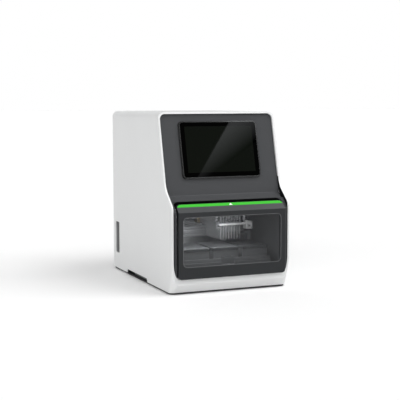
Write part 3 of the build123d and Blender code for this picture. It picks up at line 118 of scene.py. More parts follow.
MAT = {
    "cover_white": material("cover_white", lin(238, 239, 239), 0.42, vary=0.008, scale=9, bump=0.10,
                            bump_scale=1400, edge=0.0012, specular=0.50),
    "base_black": material("base_black", lin(26), 0.55, vary=0.2, bump=0.2, edge=0.0005),
    "rubber_black": material("rubber_black", lin(24), 0.8, vary=0.15, bump=0.3, bump_scale=700,
                             edge=0.0004),
    "cup_black": material("cup_black", lin(150, 151, 152), 0.5, vary=0.03, bump=0.1, edge=0.001),
    "fascia_grey": material("fascia_grey", lin(76, 77, 79), 0.38, vary=0.03, scale=12, bump=0.12,
                            bump_scale=1500, edge=0.0008, specular=0.06),
    "bezel_black": material("bezel_black", lin(12), 0.22, vary=0.1, bump=0.04, edge=0.0008, coat=0.3),
    "screen_glass": material("screen_glass", lin(4), 0.02, vary=0.1, bump=0.0, rough_vary=0.0, edge=0.0,
                             specular=0.06),
    "display_dark": material("display_dark", lin(14, 16, 13), 0.3, vary=0.05, bump=0.02, edge=0.0),
    "door_grey": material("door_grey", lin(38, 40, 42), 0.32, vary=0.03, scale=12, bump=0.10,
                          bump_scale=1500, edge=0.0010, specular=0.30),
    "window_smoke": material("window_smoke", lin(74, 75, 77), 0.04, vary=0.02, bump=0.0, rough_vary=0.01,
                             edge=0.0, alpha=0.22, specular=0.2),
    "strip_green": material("strip_green", lin(62, 186, 50), 0.35, vary=0.02, bump=0.02, edge=0.0005,
                            specular=0.04),
    "steel": material("steel", lin(178, 180, 183), 0.28, metallic=1.0, vary=0.05, bump=0.10,
                      stretch=(1, 1, 12), edge=0.0004),
    "aluminium": material("aluminium", lin(160, 162, 165), 0.48, metallic=1.0, vary=0.04, bump=0.15,
                          stretch=(8, 1, 1), edge=0.0005),
    "sheet_grey": material("sheet_grey", lin(112, 114, 116), 0.45, vary=0.03, bump=0.12, edge=0.0005),
    "sheet_dark": material("sheet_dark", lin(104, 106, 108), 0.45, vary=0.04, bump=0.12, edge=0.0005),
    "motor_black": material("motor_black", lin(38), 0.4, vary=0.1, bump=0.15, edge=0.0008),
    "plate_dark": material("plate_dark", lin(96, 98, 100), 0.42, vary=0.03, bump=0.08, edge=0.0012),
    "heater_dark": material("heater_dark", lin(40, 41, 43), 0.45, metallic=0.8, vary=0.06, bump=0.15,
                            stretch=(10, 1, 1)),
    "comb_white": material("comb_white", lin(232, 233, 234), 0.4, vary=0.02, bump=0.06, edge=0.0005),
    "comb_clear": material("comb_clear", lin(168, 170, 173), 0.25, vary=0.02, bump=0.03, edge=0.0004),
    "nut_brass": material("nut_brass", lin(150, 140, 118), 0.32, metallic=1.0, vary=0.08, bump=0.1),
    "port_metal": material("port_metal", lin(150), 0.32, metallic=1.0, vary=0.06, bump=0.1, edge=0.0003),
    "board_green": material("board_green", lin(30, 92, 52), 0.4, vary=0.15, scale=300, bump=0.25,
                            edge=0.0003),
    "plastic_black": material("plastic_black", lin(28), 0.42, vary=0.08, bump=0.12, edge=0.0004),
}
EXTRA = {
    "triangle_white": material("triangle_white", lin(250), 0.4, vary=0.01, bump=0.02, edge=0.0),
    "screw_black": material("screw_black", lin(40), 0.35, metallic=0.6, vary=0.1, bump=0.1, edge=0.0003),
    "screw_steel": material("screw_steel", lin(170), 0.3, metallic=1.0, vary=0.06, bump=0.1, edge=0.0003),
    "lid_dark": material("lid_dark", lin(66, 68, 70), 0.45, vary=0.03, bump=0.08, edge=0.0012,
                         specular=0.2),
    # painted highlight: the lighter grey of the ring round the window
    "window_highlight_grey": material("window_highlight_grey", lin(104, 105, 107), 0.3, vary=0.03, bump=0.03, edge=0.0),
}


# the screen's active area, on the glass
ACTIVE_WIDTH = 0.2176
ACTIVE_HEIGHT_Z = 0.1345
ACTIVE_MIDDLE_Z = 0.4150
GLASS_BORDER, GLASS_ACTIVE = lin(0), lin(14, 17, 13)


def printed_glass():
    """The screen's glass: black printed border round a faintly lighter active area."""
    m = MAT["screen_glass"]
    nt = m.node_tree
    bsdf = nt.nodes["Principled BSDF"]
    coords = nt.nodes.new("ShaderNodeTexCoord")
    split = nt.nodes.new("ShaderNodeSeparateXYZ")
    nt.links.new(coords.outputs["Object"], split.inputs["Vector"])

    def inside(socket, middle, half):
        away = nt.nodes.new("ShaderNodeMath")
        away.operation = "SUBTRACT"
        away.inputs[1].default_value = middle
        nt.links.new(socket, away.inputs[0])
        size = nt.nodes.new("ShaderNodeMath")
        size.operation = "ABSOLUTE"
        nt.links.new(away.outputs[0], size.inputs[0])
        less = nt.nodes.new("ShaderNodeMath")
        less.operation = "LESS_THAN"
        less.inputs[1].default_value = half
        nt.links.new(size.outputs[0], less.inputs[0])
        return less.outputs[0]

    both = nt.nodes.new("ShaderNodeMath")
    both.operation = "MULTIPLY"
    nt.links.new(inside(split.outputs["X"], 0.0, ACTIVE_WIDTH / 2), both.inputs[0])
    nt.links.new(inside(split.outputs["Z"], ACTIVE_MIDDLE_Z, ACTIVE_HEIGHT_Z / 2), both.inputs[1])
    mix = nt.nodes.new("ShaderNodeMix")
    mix.data_type = "RGBA"
    mix.inputs["A"].default_value = GLASS_BORDER
    mix.inputs["B"].default_value = GLASS_ACTIVE
    nt.links.new(both.outputs[0], mix.inputs["Factor"])
    nt.links.new(mix.outputs["Result"], bsdf.inputs["Base Color"])


def paint_shade_zone(name, low, high, colour):
    """Paints shade onto part of a piece: a darker colour in the box between two corners, in metres."""
    nt = MAT[name].node_tree
    bsdf = nt.nodes["Principled BSDF"]
    coords = nt.nodes.new("ShaderNodeTexCoord")
    split = nt.nodes.new("ShaderNodeSeparateXYZ")
    nt.links.new(coords.outputs["Object"], split.inputs["Vector"])
    factor = None
    for axis, (a, b) in zip("XYZ", zip(low, high)):
        compare = nt.nodes.new("ShaderNodeMath")
        compare.operation = "COMPARE"
        compare.inputs[1].default_value = (a + b) / 2
        compare.inputs[2].default_value = (b - a) / 2
        nt.links.new(split.outputs[axis], compare.inputs[0])
        if factor is None:
            factor = compare.outputs[0]
        else:
            product = nt.nodes.new("ShaderNodeMath")
            product.operation = "MULTIPLY"
            nt.links.new(factor, product.inputs[0])
            nt.links.new(compare.outputs[0], product.inputs[1])
            factor = product.outputs[0]
    before = bsdf.inputs["Base Color"].links[0].from_socket
    mix = nt.nodes.new("ShaderNodeMix")
    mix.data_type = "RGBA"
    mix.inputs["B"].default_value = colour
    nt.links.new(factor, mix.inputs["Factor"])
    nt.links.new(before, mix.inputs["A"])
    nt.links.new(mix.outputs["Result"], bsdf.inputs["Base Color"])


# painted shade: the inside of the cover beside the door and below the waist, and the gap over the door,
# painted near black where they lie in shadow
COVER_SHADE_LOW, COVER_SHADE_HIGH = (-0.1824, -0.2680, 0.0500), (0.1824, 0.2700, 0.3300)
DOOR_GAP_SHADE_LOW, DOOR_GAP_SHADE_HIGH = (-0.1730, -0.2399, 0.2200), (0.1730, -0.2300, 0.2681)
# painted shade: the cover's inner faces near black, for the shadow in the recess beside the door
paint_shade_zone("cover_white", COVER_SHADE_LOW, COVER_SHADE_HIGH, lin(6))
# painted shadow: the fascia near black in the gap over the door
paint_shade_zone("fascia_grey", DOOR_GAP_SHADE_LOW, DOOR_GAP_SHADE_HIGH, lin(3))

printed_glass()

STRIP_GLOW = 0.10
strip_shader = MAT["strip_green"].node_tree.nodes["Principled BSDF"]
strip_shader.inputs["Emission Color"].default_value = lin(60, 205, 48)
strip_shader.inputs["Emission Strength"].default_value = STRIP_GLOW

for row in frame["record"]["subparts"]:
    obj = nodes[row["node"]]
    obj.data.materials.clear()
    obj.data.materials.append(MAT[row["material_slot"]])


# ---------------------------------------------------------------- mesh helpers
SHARP_ANGLE = math.radians(35)


def piece(name, bm, body, mat, smooth=True, bevel=0.0):
    """Turns a bmesh into a piece that rides on a body; bevel is in metres."""
    mesh = bpy.data.meshes.new(name)
    bmesh.ops.recalc_face_normals(bm, faces=bm.faces)
    bm.to_mesh(mesh)
    bm.free()
    obj = bpy.data.objects.new(name, mesh)
    scene.collection.objects.link(obj)
    if smooth:
        for polygon in mesh.polygons:
            polygon.use_smooth = True
        mesh.set_sharp_from_angle(angle=SHARP_ANGLE)
    if bevel > 0:
        mod = obj.modifiers.new("edge", "BEVEL")
        mod.width = bevel
        mod.segments = 2
        mod.limit_method = "ANGLE"
    mesh.materials.append(mat)
    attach(obj, body)
    return obj


def add_box(bm, lo, hi):
    """A box between two corners, in millimetres."""
    lo, hi = Vector(lo) * MM, Vector(hi) * MM
    place = Matrix.Translation((lo + hi) / 2) @ Matrix.Diagonal((*(hi - lo), 1))
    bmesh.ops.create_cube(bm, size=1, matrix=place)


def add_cylinder(bm, base, direction, radius, length, segments=20):
    """A cylinder that starts at a point and runs along a direction, in millimetres."""
    direction = Vector(direction).normalized()
    turn = direction.to_track_quat("Z", "Y").to_matrix().to_4x4()
    middle = Vector(base) * MM + direction * length * MM / 2
    bmesh.ops.create_cone(
        bm, cap_ends=True, segments=segments, radius1=radius * MM, radius2=radius * MM, depth=length * MM,
        matrix=Matrix.Translation(middle) @ turn,
    )


def add_lathe(bm, base, direction, profile, segments=18):
    """Turns a profile of (radius, height) pairs, in millimetres, about an axis."""
    direction = Vector(direction).normalized()
    turn = direction.to_track_quat("Z", "Y").to_matrix()
    origin = Vector(base) * MM
    rings = []
    for radius, height in profile:
        ring = []
        for i in range(segments):
            a = 2 * math.pi * i / segments
            local = Vector((radius * math.cos(a), radius * math.sin(a), height)) * MM
            ring.append(bm.verts.new(origin + turn @ local))
        rings.append(ring)
    for low, high in zip(rings, rings[1:]):
        for i in range(segments):
            j = (i + 1) % segments
            bm.faces.new((low[i], low[j], high[j], high[i]))
    bm.faces.new(list(reversed(rings[0])))
    bm.faces.new(rings[-1])


def add_socket_screw(bm, base, direction, radius, height):
    """A cap screw head with a round socket."""
    add_lathe(bm, base, direction, [
        (radius, 0), (radius, height - 0.25 * radius), (radius * 0.88, height), (radius * 0.52, height),
        (radius * 0.50, height - 0.55 * radius), (radius * 0.05, height - 0.6 * radius),
    ])


def add_pan_screw(bm, base, direction, radius, height):
    """A low domed screw head with a round recess."""
    add_lathe(bm, base, direction, [
        (radius, 0), (radius, height * 0.3), (radius * 0.86, height * 0.7), (radius * 0.55, height * 0.95),
        (radius * 0.20, height), (radius * 0.16, height * 0.55), (radius * 0.02, height * 0.5),
    ])


def add_thread(bm, start, direction, radius, pitch, length, depth, steps=12):
    """A raised helical ridge along a screw, with the given number of steps in each turn."""
    direction = Vector(direction).normalized()
    turn = direction.to_track_quat("Z", "Y").to_matrix()
    origin = Vector(start) * MM
    count = int(length / pitch * steps)
    profile = ((radius - 0.05, -0.36 * pitch), (radius + depth, -0.12 * pitch),
               (radius + depth, 0.12 * pitch), (radius - 0.05, 0.36 * pitch))
    previous = None
    for i in range(count + 1):
        a = 2 * math.pi * i / steps
        along = 0.4 * pitch + (length - 0.8 * pitch) * i / count
        ring = [
            bm.verts.new(origin + turn @ (Vector((r * math.cos(a), r * math.sin(a), along + dz)) * MM))
            for r, dz in profile
        ]
        if previous:
            for k in range(len(ring) - 1):
                bm.faces.new((previous[k], previous[k + 1], ring[k + 1], ring[k]))
        else:
            bm.faces.new(ring)
        previous = ring
    bm.faces.new(list(reversed(previous)))


# ---------------------------------------------------------------- details
def box_mm(node):
    """The lowest and highest corner of a CAD node, in millimetres."""
    low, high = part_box(node)
    return Vector(low) / MM, Vector(high) / MM


def add_prism(bm, outline, low, high, axis=2):
    """Extrudes an outline of points along an axis, between two heights, in millimetres."""
    def place(a, b, along):
        point = [a, b]
        point.insert(axis, along)
        return bm.verts.new(Vector(point) * MM)

    bottom = [place(a, b, low) for a, b in outline]
    top = [place(a, b, high) for a, b in outline]
    bm.faces.new(list(reversed(bottom)))
    bm.faces.new(top)
    for i in range(len(outline)):
        j = (i + 1) % len(outline)
        bm.faces.new((bottom[i], bottom[j], top[j], top[i]))


def rounded(a0, a1, b0, b1, radius, steps=6):
    """The outline of a rectangle with round corners."""
    points = []
    for ca, cb, turn in ((a1 - radius, b1 - radius, 0), (a0 + radius, b1 - radius, 90),
                         (a0 + radius, b0 + radius, 180), (a1 - radius, b0 + radius, 270)):
        for i in range(steps + 1):
            angle = math.radians(turn + 90 * i / steps)
            points.append((ca + radius * math.cos(angle), cb + radius * math.sin(angle)))
    return points


def chamfered(a0, a1, b0, b1, cut):
    """The outline of a rectangle with cut corners."""
    return [(a0 + cut, b0), (a1 - cut, b0), (a1, b0 + cut), (a1, b1 - cut),
            (a1 - cut, b1), (a0 + cut, b1), (a0, b1 - cut), (a0, b0 + cut)]


def spaced(low, high, margin, count):
    """Evenly spaced places between two ends, the outer two a margin in from them."""
    return [low + margin + i * (high - low - 2 * margin) / (count - 1) for i in range(count)]


SINK = 0.05  # how deep a flat piece is let into the face that it sits on

# white opening mark on the light strip; the two points give the strip's slope and middle
STRIP_LOW, STRIP_HIGH = Vector((0, -264.5, 252.5)), Vector((0, -256.5, 262.0))
MARK_SHIFT, MARK_HALF_WIDTH, MARK_FOOT, MARK_TIP = 0.9, 5.4, 3.1, 3.5
MARK_BACK, MARK_FRONT = 0.2, 0.42
strip_up = (STRIP_HIGH - STRIP_LOW).normalized()
strip_out = Vector((0, -strip_up.z, strip_up.y))
mark_middle = (STRIP_LOW + STRIP_HIGH) / 2 + MARK_SHIFT * strip_up
mark_side = MARK_HALF_WIDTH * Vector((1, 0, 0))
corners = [mark_middle - mark_side - MARK_FOOT * strip_up, mark_middle + mark_side - MARK_FOOT * strip_up,
           mark_middle + MARK_TIP * strip_up]
bm = bmesh.new()
low_ring = [bm.verts.new((c + MARK_BACK * strip_out) * MM) for c in corners]
high_ring = [bm.verts.new((c + MARK_FRONT * strip_out) * MM) for c in corners]
bm.faces.new(list(reversed(low_ring)))
bm.faces.new(high_ring)
for i in range(3):
    bm.faces.new((low_ring[i], low_ring[(i + 1) % 3], high_ring[(i + 1) % 3], high_ring[i]))
piece("strip_mark", bm, "door", EXTRA["triangle_white"], smooth=False)

# ring round the window's edge in a lighter grey: a painted highlight where the pane's bevel catches light
EDGE_WIDTH, EDGE_PROUD, WINDOW_CORNER, PANE_FLANGE = 1.4, 0.5, 14.0, 3.0
pane_low, pane_high = box_mm("door_window")
edge_back, edge_front = pane_low.y + SINK, pane_low.y - EDGE_PROUD
bm = bmesh.new()
rings = []
for step, y in ((0.0, edge_back), (0.0, edge_front), (EDGE_WIDTH, edge_front), (EDGE_WIDTH, edge_back)):
    inset = PANE_FLANGE + step
    outline = rounded(pane_low.x + inset, pane_high.x - inset, pane_low.z + inset, pane_high.z - inset,
                      WINDOW_CORNER - step, steps=8)
    rings.append([bm.verts.new(Vector((x, y, z)) * MM) for x, z in outline])
for first, second in zip(rings, rings[1:] + rings[:1]):
    for i in range(len(first)):
        j = (i + 1) % len(first)
        bm.faces.new((first[i], first[j], second[j], second[i]))
piece("window_highlight_ring", bm, "door", EXTRA["window_highlight_grey"])

# smooth magnet rods and the comb's sleeves; each outline is (radius, height) from the tip up
ROD_PITCH, ROD_COUNT = 9.0, 8
ROD_TIP = [(0.9, 0), (1.45, 0.7), (1.5, 1.2), (1.5, 48.4), (2.8, 49.0), (3.1, 49.4)]
SHANK_RADIUS = 3.1
SLEEVE_TIP = [(0.5, 0), (1.3, 0.25), (1.9, 0.9), (2.2, 1.9), (2.98, 47.4)]
SLEEVE_RADIUS, SLEEVE_DROP, STRIP_THICKNESS = 2.98, 0.1, 2.0
rods_low, rods_high = box_mm("magnet_rods")
comb_low, comb_high = box_mm("tip_comb")
rods_middle = (rods_low + rods_high) / 2
rod_places = [rods_middle.x + (i - (ROD_COUNT - 1) / 2) * ROD_PITCH for i in range(ROD_COUNT)]


def add_rod_row(bm, foot, outline):
    """The same turned form at the place of each rod."""
    for x in rod_places:
        add_lathe(bm, (x, rods_middle.y, foot), (0, 0, 1), outline, segments=20)


bm = bmesh.new()
add_rod_row(bm, rods_low.z, ROD_TIP + [(SHANK_RADIUS, rods_high.z - rods_low.z)])
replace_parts(piece("magnet_rods_round", bm, "rod_lift", MAT["steel"]), "magnet_rods")

bm = bmesh.new()
add_rod_row(bm, comb_low.z, SLEEVE_TIP + [(SLEEVE_RADIUS, comb_high.z - comb_low.z - SLEEVE_DROP)])
add_box(bm, (comb_low.x, comb_low.y, comb_high.z - STRIP_THICKNESS), comb_high)
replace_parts(piece("tip_comb_round", bm, "comb_lift", MAT["comb_clear"]), "tip_comb")

# lids of the deep-well plates, each a rim and a raised top
RIM_INSET, RIM_CORNER, RIM_FOOT, RIM_HEAD = 0.9, 2.6, 9.0, 0.6
TOP_INSET, TOP_CORNER, TOP_FOOT, TOP_RISE = 2.2, 2.2, 0.7, 0.1


def inset_outline(low, high, inset, radius):
    """The rounded outline of a box seen from above, drawn in by an inset."""
    return rounded(low.x + inset, high.x - inset, low.y + inset, high.y - inset, radius)


for name in ("left", "middle", "right"):
    low, high = box_mm("deep_well_plate_" + name)
    bm = bmesh.new()
    add_prism(bm, inset_outline(low, high, RIM_INSET, RIM_CORNER), high.z - RIM_FOOT, high.z - RIM_HEAD)
    add_prism(bm, inset_outline(low, high, TOP_INSET, TOP_CORNER), high.z - TOP_FOOT, high.z + TOP_RISE)
    piece("plate_lid_" + name, bm, "tray", EXTRA["lid_dark"], smooth=False)

# end caps of the stepper motors
CAP_LENGTH, CAP_PROUD, CAP_CUT, CAP_BEVEL = 8.0, 0.15, 4.0, 0.0004
MOTORS = (("x_motor", 0, "housing"), ("tray_motor", 1, "housing"),
          ("comb_motor", 2, "carriage"), ("rod_motor", 2, "carriage"))
for node, axis, body in MOTORS:
    low, high = box_mm(node)
    a, b = [i for i in range(3) if i != axis]
    outline = chamfered(low[a] - CAP_PROUD, high[a] + CAP_PROUD, low[b] - CAP_PROUD, high[b] + CAP_PROUD,
                        CAP_CUT)
    bm = bmesh.new()
    add_prism(bm, outline, low[axis] + SINK, low[axis] + CAP_LENGTH, axis)
    add_prism(bm, outline, high[axis] - CAP_LENGTH, high[axis] - SINK, axis)
    piece(node + "_caps", bm, body, MAT["aluminium"], smooth=False, bevel=CAP_BEVEL)

# threads of the lead screws; the journal lies at the motor's end, the low end of the traverse screw alone
THREAD_RADIUS, THREAD_PITCH, THREAD_DEPTH, JOURNAL = 4.0, 4.0, 0.2, 9.0
SCREWS = (("x_screw", 0, "x_leadscrew", 4.5), ("tray_screw", 1, "tray_leadscrew", 10.0),
          ("comb_screw", 2, "comb_leadscrew", 1.0), ("rod_screw", 2, "rod_leadscrew", 1.0))
for node, axis, body, spare in SCREWS:
    low, high = box_mm(node)
    first = low[axis] + (JOURNAL if axis == 0 else spare)
    last = high[axis] - (spare if axis == 0 else JOURNAL)
    begin = (low + high) / 2
    begin[axis] = first
    along = Vector((0, 0, 0))
    along[axis] = 1
    bm = bmesh.new()
    add_thread(bm, begin, along, THREAD_RADIUS, THREAD_PITCH, last - first, THREAD_DEPTH)
    piece(node + "_thread", bm, body, MAT["steel"])

# flat heads of the rails' screws
FLAT_RADIUS, FLAT_HEIGHT = 2.6, 0.2
Z_RAIL_EDGE, Z_RAIL_MARGIN, Z_RAIL_SCREWS = 6, 10, 6
X_RAIL_MARGIN, X_RAIL_SCREWS = 16, 9
bm = bmesh.new()
low, high = box_mm("z_rails")
for x in (low.x + Z_RAIL_EDGE, high.x - Z_RAIL_EDGE):
    for z in spaced(low.z, high.z, Z_RAIL_MARGIN, Z_RAIL_SCREWS):
        add_cylinder(bm, (x, low.y + SINK, z), (0, -1, 0), FLAT_RADIUS, FLAT_HEIGHT)
piece("z_rail_screws", bm, "carriage", EXTRA["screw_black"], smooth=False)
bm = bmesh.new()
low, high = box_mm("x_rail")
for x in spaced(low.x, high.x, X_RAIL_MARGIN, X_RAIL_SCREWS):
    add_cylinder(bm, (x, (low.y + high.y) / 2, high.z - SINK), (0, 0, 1), FLAT_RADIUS, FLAT_HEIGHT)
piece("x_rail_screws", bm, "housing", EXTRA["screw_black"], smooth=False)

# screws of the motor bracket and the head plate
HEAD_SCREW_RADIUS, HEAD_SCREW_HEIGHT = 2.7, 2.6
BRACKET_EDGE_X, BRACKET_EDGE_Y = 5, 6
PLATE_EDGE_X, PLATE_FOOT, PLATE_HEAD = 8, 12, 14
bm = bmesh.new()
low, high = box_mm("motor_bracket")
for x in (low.x + BRACKET_EDGE_X, high.x - BRACKET_EDGE_X):
    for y in (low.y + BRACKET_EDGE_Y, high.y - BRACKET_EDGE_Y):
        add_socket_screw(bm, (x, y, high.z), (0, 0, 1), HEAD_SCREW_RADIUS, HEAD_SCREW_HEIGHT)
low, high = box_mm("head_plate")
for x in (low.x + PLATE_EDGE_X, high.x - PLATE_EDGE_X):
    for z in (low.z + PLATE_FOOT, high.z - PLATE_HEAD):
        add_socket_screw(bm, (x, high.y, z), (0, 1, 0), HEAD_SCREW_RADIUS, HEAD_SCREW_HEIGHT)
piece("head_screws", bm, "carriage", EXTRA["screw_black"])

# screws of the comb clamp
CLAMP_SCREW_RADIUS, CLAMP_SCREW_HEIGHT = 1.7, 1.4
CLAMP_EDGE, CLAMP_FOOT, CLAMP_HEAD = 3.4, 4, 6
bm = bmesh.new()
low, high = box_mm("comb_clamp")
for z in (low.z + CLAMP_FOOT, high.z - CLAMP_HEAD):
    base = (high.x - CLAMP_EDGE, low.y, z)
    add_socket_screw(bm, base, (0, -1, 0), CLAMP_SCREW_RADIUS, CLAMP_SCREW_HEIGHT)
piece("clamp_screws", bm, "comb_lift", EXTRA["screw_black"])

# screws of the rear panel, whose middle column has only the outer two, and of the fan
PANEL_SCREW_X, PANEL_SCREW_ROWS = 150, (38, 190, 340, 487)
PANEL_SCREW_RADIUS, PANEL_SCREW_HEIGHT = 3.2, 2.2
FAN_SCREW_OFFSET, FAN_SCREW_RADIUS, FAN_SCREW_HEIGHT, FAN_SCREW_SINK = 34.6, 2.9, 1.2, 0.1
panel_back = box_mm("rear_panel")[1].y
bm = bmesh.new()
for x in (-PANEL_SCREW_X, 0, PANEL_SCREW_X):
    for z in PANEL_SCREW_ROWS if x else (PANEL_SCREW_ROWS[0], PANEL_SCREW_ROWS[-1]):
        add_pan_screw(bm, (x, panel_back, z), (0, 1, 0), PANEL_SCREW_RADIUS, PANEL_SCREW_HEIGHT)
fan_low, fan_high = box_mm("fan_guard")
fan_middle = (fan_low + fan_high) / 2
for dx in (-FAN_SCREW_OFFSET, FAN_SCREW_OFFSET):
    for dz in (-FAN_SCREW_OFFSET, FAN_SCREW_OFFSET):
        base = (fan_middle.x + dx, fan_high.y - FAN_SCREW_SINK, fan_middle.z + dz)
        add_pan_screw(bm, base, (0, 1, 0), FAN_SCREW_RADIUS, FAN_SCREW_HEIGHT)
piece("rear_screws", bm, "housing", EXTRA["screw_black"])

# pins of the mains inlet
PIN_PLACES, SOCKET_DROP = ((-8, 1), (0, -3), (8, 1)), 11
PIN_HALF_WIDTH, PIN_HALF_HEIGHT, PIN_FOOT, PIN_HEAD, PIN_BEVEL = 1, 2.5, 259.0, 273.0, 0.0002
inlet_low, inlet_high = box_mm("power_inlet")
inlet_middle = (inlet_low + inlet_high) / 2
bm = bmesh.new()
for dx, dz in PIN_PLACES:
    x, z = inlet_middle.x + dx, inlet_middle.z - SOCKET_DROP + dz
    add_box(bm, (x - PIN_HALF_WIDTH, PIN_FOOT, z - PIN_HALF_HEIGHT),
            (x + PIN_HALF_WIDTH, PIN_HEAD, z + PIN_HALF_HEIGHT))
piece("inlet_pins", bm, "housing", MAT["port_metal"], smooth=False, bevel=PIN_BEVEL)

# tongues of the two small ports and contacts of the large one
PORT_PITCH, CONTACT_FOOT, CONTACT_HEAD = 18, 263.5, 272.0
TONGUE_HALF_WIDTH, TONGUE_LOW, TONGUE_HIGH = 5, -0.2, 1.8
CONTACT_COUNT, CONTACT_PITCH, CONTACT_HALF_WIDTH, CONTACT_LOW, CONTACT_HIGH = 8, 1.1, 0.25, 4.2, 5.0
ports_low, ports_high = box_mm("port_block")
ports_middle = (ports_low + ports_high) / 2


def add_contact(bm, x, half_width, low, high):
    """A flat tongue or contact that stands in a port, at heights from the ports' middle."""
    z = ports_middle.z
    add_box(bm, (x - half_width, CONTACT_FOOT, z + low), (x + half_width, CONTACT_HEAD, z + high))


bm = bmesh.new()
for x in (ports_middle.x - PORT_PITCH, ports_middle.x):
    add_contact(bm, x, TONGUE_HALF_WIDTH, TONGUE_LOW, TONGUE_HIGH)
for i in range(CONTACT_COUNT):
    x = ports_middle.x + PORT_PITCH + (i - (CONTACT_COUNT - 1) / 2) * CONTACT_PITCH
    add_contact(bm, x, CONTACT_HALF_WIDTH, CONTACT_LOW, CONTACT_HIGH)
piece("port_contacts", bm, "housing", MAT["nut_brass"], smooth=False)

# the tray's screws
TRAY_SCREW_X, TRAY_SCREW_ROWS, TRAY_SCREW_Z = 126, (-222, -110), 82.0
TRAY_SCREW_RADIUS, TRAY_SCREW_HEIGHT = 2.6, 1.6
bm = bmesh.new()
for x in (-TRAY_SCREW_X, TRAY_SCREW_X):
    for y in TRAY_SCREW_ROWS:
        add_pan_screw(bm, (x, y, TRAY_SCREW_Z), (0, 0, 1), TRAY_SCREW_RADIUS, TRAY_SCREW_HEIGHT)
piece("tray_screws", bm, "tray", EXTRA["screw_steel"])

# springs of the latch, round its pin
SPRING_X, SPRING_RADIUS, SPRING_LENGTH = 21.0, 2.3, 2.8
LATCH_Y, LATCH_Z = -240.0, 81.0
bm = bmesh.new()
for x in (-SPRING_X, SPRING_X):
    add_cylinder(bm, (x - SPRING_LENGTH / 2, LATCH_Y, LATCH_Z), (1, 0, 0), SPRING_RADIUS, SPRING_LENGTH)
piece("latch_springs", bm, "latch", EXTRA["screw_steel"])

# ---------------------------------------------------------------- stage
AMBIENT = 0.42
GLOSSY_AMBIENT = 0.30
FLOOR_SEEN = 0.985
FLOOR_BOUNCE = 0.78
FLOOR_HALF = 60

# white floor, a little darker in what it throws back than in what the camera sees
floor_mat = bpy.data.materials.new("floor_white")
floor_mat.use_nodes = True
nt = floor_mat.node_tree
nt.nodes.clear()
out = nt.nodes.new("ShaderNodeOutputMaterial")
path = nt.nodes.new("ShaderNodeLightPath")
tone = nt.nodes.new("ShaderNodeMix")
tone.data_type = "RGBA"
tone.inputs["A"].default_value = (FLOOR_BOUNCE, FLOOR_BOUNCE, FLOOR_BOUNCE, 1)
tone.inputs["B"].default_value = (FLOOR_SEEN, FLOOR_SEEN, FLOOR_SEEN, 1)
nt.links.new(path.outputs["Is Camera Ray"], tone.inputs["Factor"])
diffuse = nt.nodes.new("ShaderNodeBsdfDiffuse")
nt.links.new(tone.outputs["Result"], diffuse.inputs["Color"])
nt.links.new(diffuse.outputs[0], out.inputs["Surface"])
bm = bmesh.new()
bmesh.ops.create_grid(bm, x_segments=1, y_segments=1, size=FLOOR_HALF)
floor_mesh = bpy.data.meshes.new("floor")
bm.to_mesh(floor_mesh)
bm.free()
floor = bpy.data.objects.new("floor", floor_mesh)
floor_mesh.materials.append(floor_mat)
scene.collection.objects.link(floor)

# white studio: brighter to the camera than in the light it gives
world = bpy.data.worlds.new("studio")
scene.world = world
world.use_nodes = True
nt = world.node_tree
nt.nodes.clear()
out = nt.nodes.new("ShaderNodeOutputWorld")
path = nt.nodes.new("ShaderNodeLightPath")


def background(strength):
    """A white background of the given strength."""
    node = nt.nodes.new("ShaderNodeBackground")
    node.inputs["Color"].default_value = (1, 1, 1, 1)
    node.inputs["Strength"].default_value = strength
    return node.outputs[0]


def choose(factor, low, high):
    """The low shader where the factor is 0 and the high one where it is 1."""
    node = nt.nodes.new("ShaderNodeMixShader")
    nt.links.new(factor, node.inputs["Fac"])
    nt.links.new(low, node.inputs[1])
    nt.links.new(high, node.inputs[2])
    return node.outputs[0]


rays = nt.nodes.new("ShaderNodeMath")
rays.operation = "MAXIMUM"
nt.links.new(path.outputs["Is Camera Ray"], rays.inputs[0])
nt.links.new(path.outputs["Is Transmission Ray"], rays.inputs[1])
lit = choose(path.outputs["Is Glossy Ray"], background(AMBIENT), background(GLOSSY_AMBIENT))
nt.links.new(choose(rays.outputs[0], lit, background(1.0)), out.inputs["Surface"])


def aim(obj, place, target):
    """Puts a lamp at a place, turned towards a target, and adds it to the scene."""
    obj.location = place
    obj.rotation_mode = "QUATERNION"
    obj.rotation_quaternion = (Vector(target) - Vector(place)).to_track_quat("-Z", "Y")
    scene.collection.objects.link(obj)


def softbox(name, place, target, width, height, power, spread_degrees):
    """A rectangular area lamp, hidden from the camera and aimed at a point."""
    data = bpy.data.lights.new(name, "AREA")
    data.shape = "RECTANGLE"
    data.size, data.size_y = width, height
    data.energy = power
    data.spread = math.radians(spread_degrees)
    obj = bpy.data.objects.new(name, data)
    obj.visible_camera = False
    aim(obj, place, target)


SUN_PLACE = Vector((0, 0, 4))


def broad_sun(name, direction, strength, angle):
    """A wide soft sun that shines along a direction."""
    data = bpy.data.lights.new(name, "SUN")
    data.energy = strength
    data.angle = math.radians(angle)
    aim(bpy.data.objects.new(name, data), SUN_PLACE, SUN_PLACE + Vector(direction))


broad_sun("key_right", (-0.55, 0.30, -0.78), 1.55, 50)
broad_sun("fill_left", (0.62, 0.45, -0.64), 0.62, 50)
broad_sun("fill_front", (0.0, 0.60, -0.80), 0.35, 60)
broad_sun("low_left", (0.95, 0.25, -0.12), 0.36, 40)

# lamps inside the chamber: two behind the head of the door's frame and one under the beam
softbox("lamp_door_head", (-0.07, -0.238, 0.243), (-0.07, -0.10, 0.115), 0.18, 0.02, 1.7, 130)
softbox("lamp_left_corner", (-0.105, -0.232, 0.240), (-0.105, 0.0, 0.170), 0.12, 0.02, 0.45, 100)
softbox("lamp_under_beam", (-0.10, 0.015, 0.118), (-0.10, 0.09, 0.085), 0.14, 0.01, 0.22, 150)


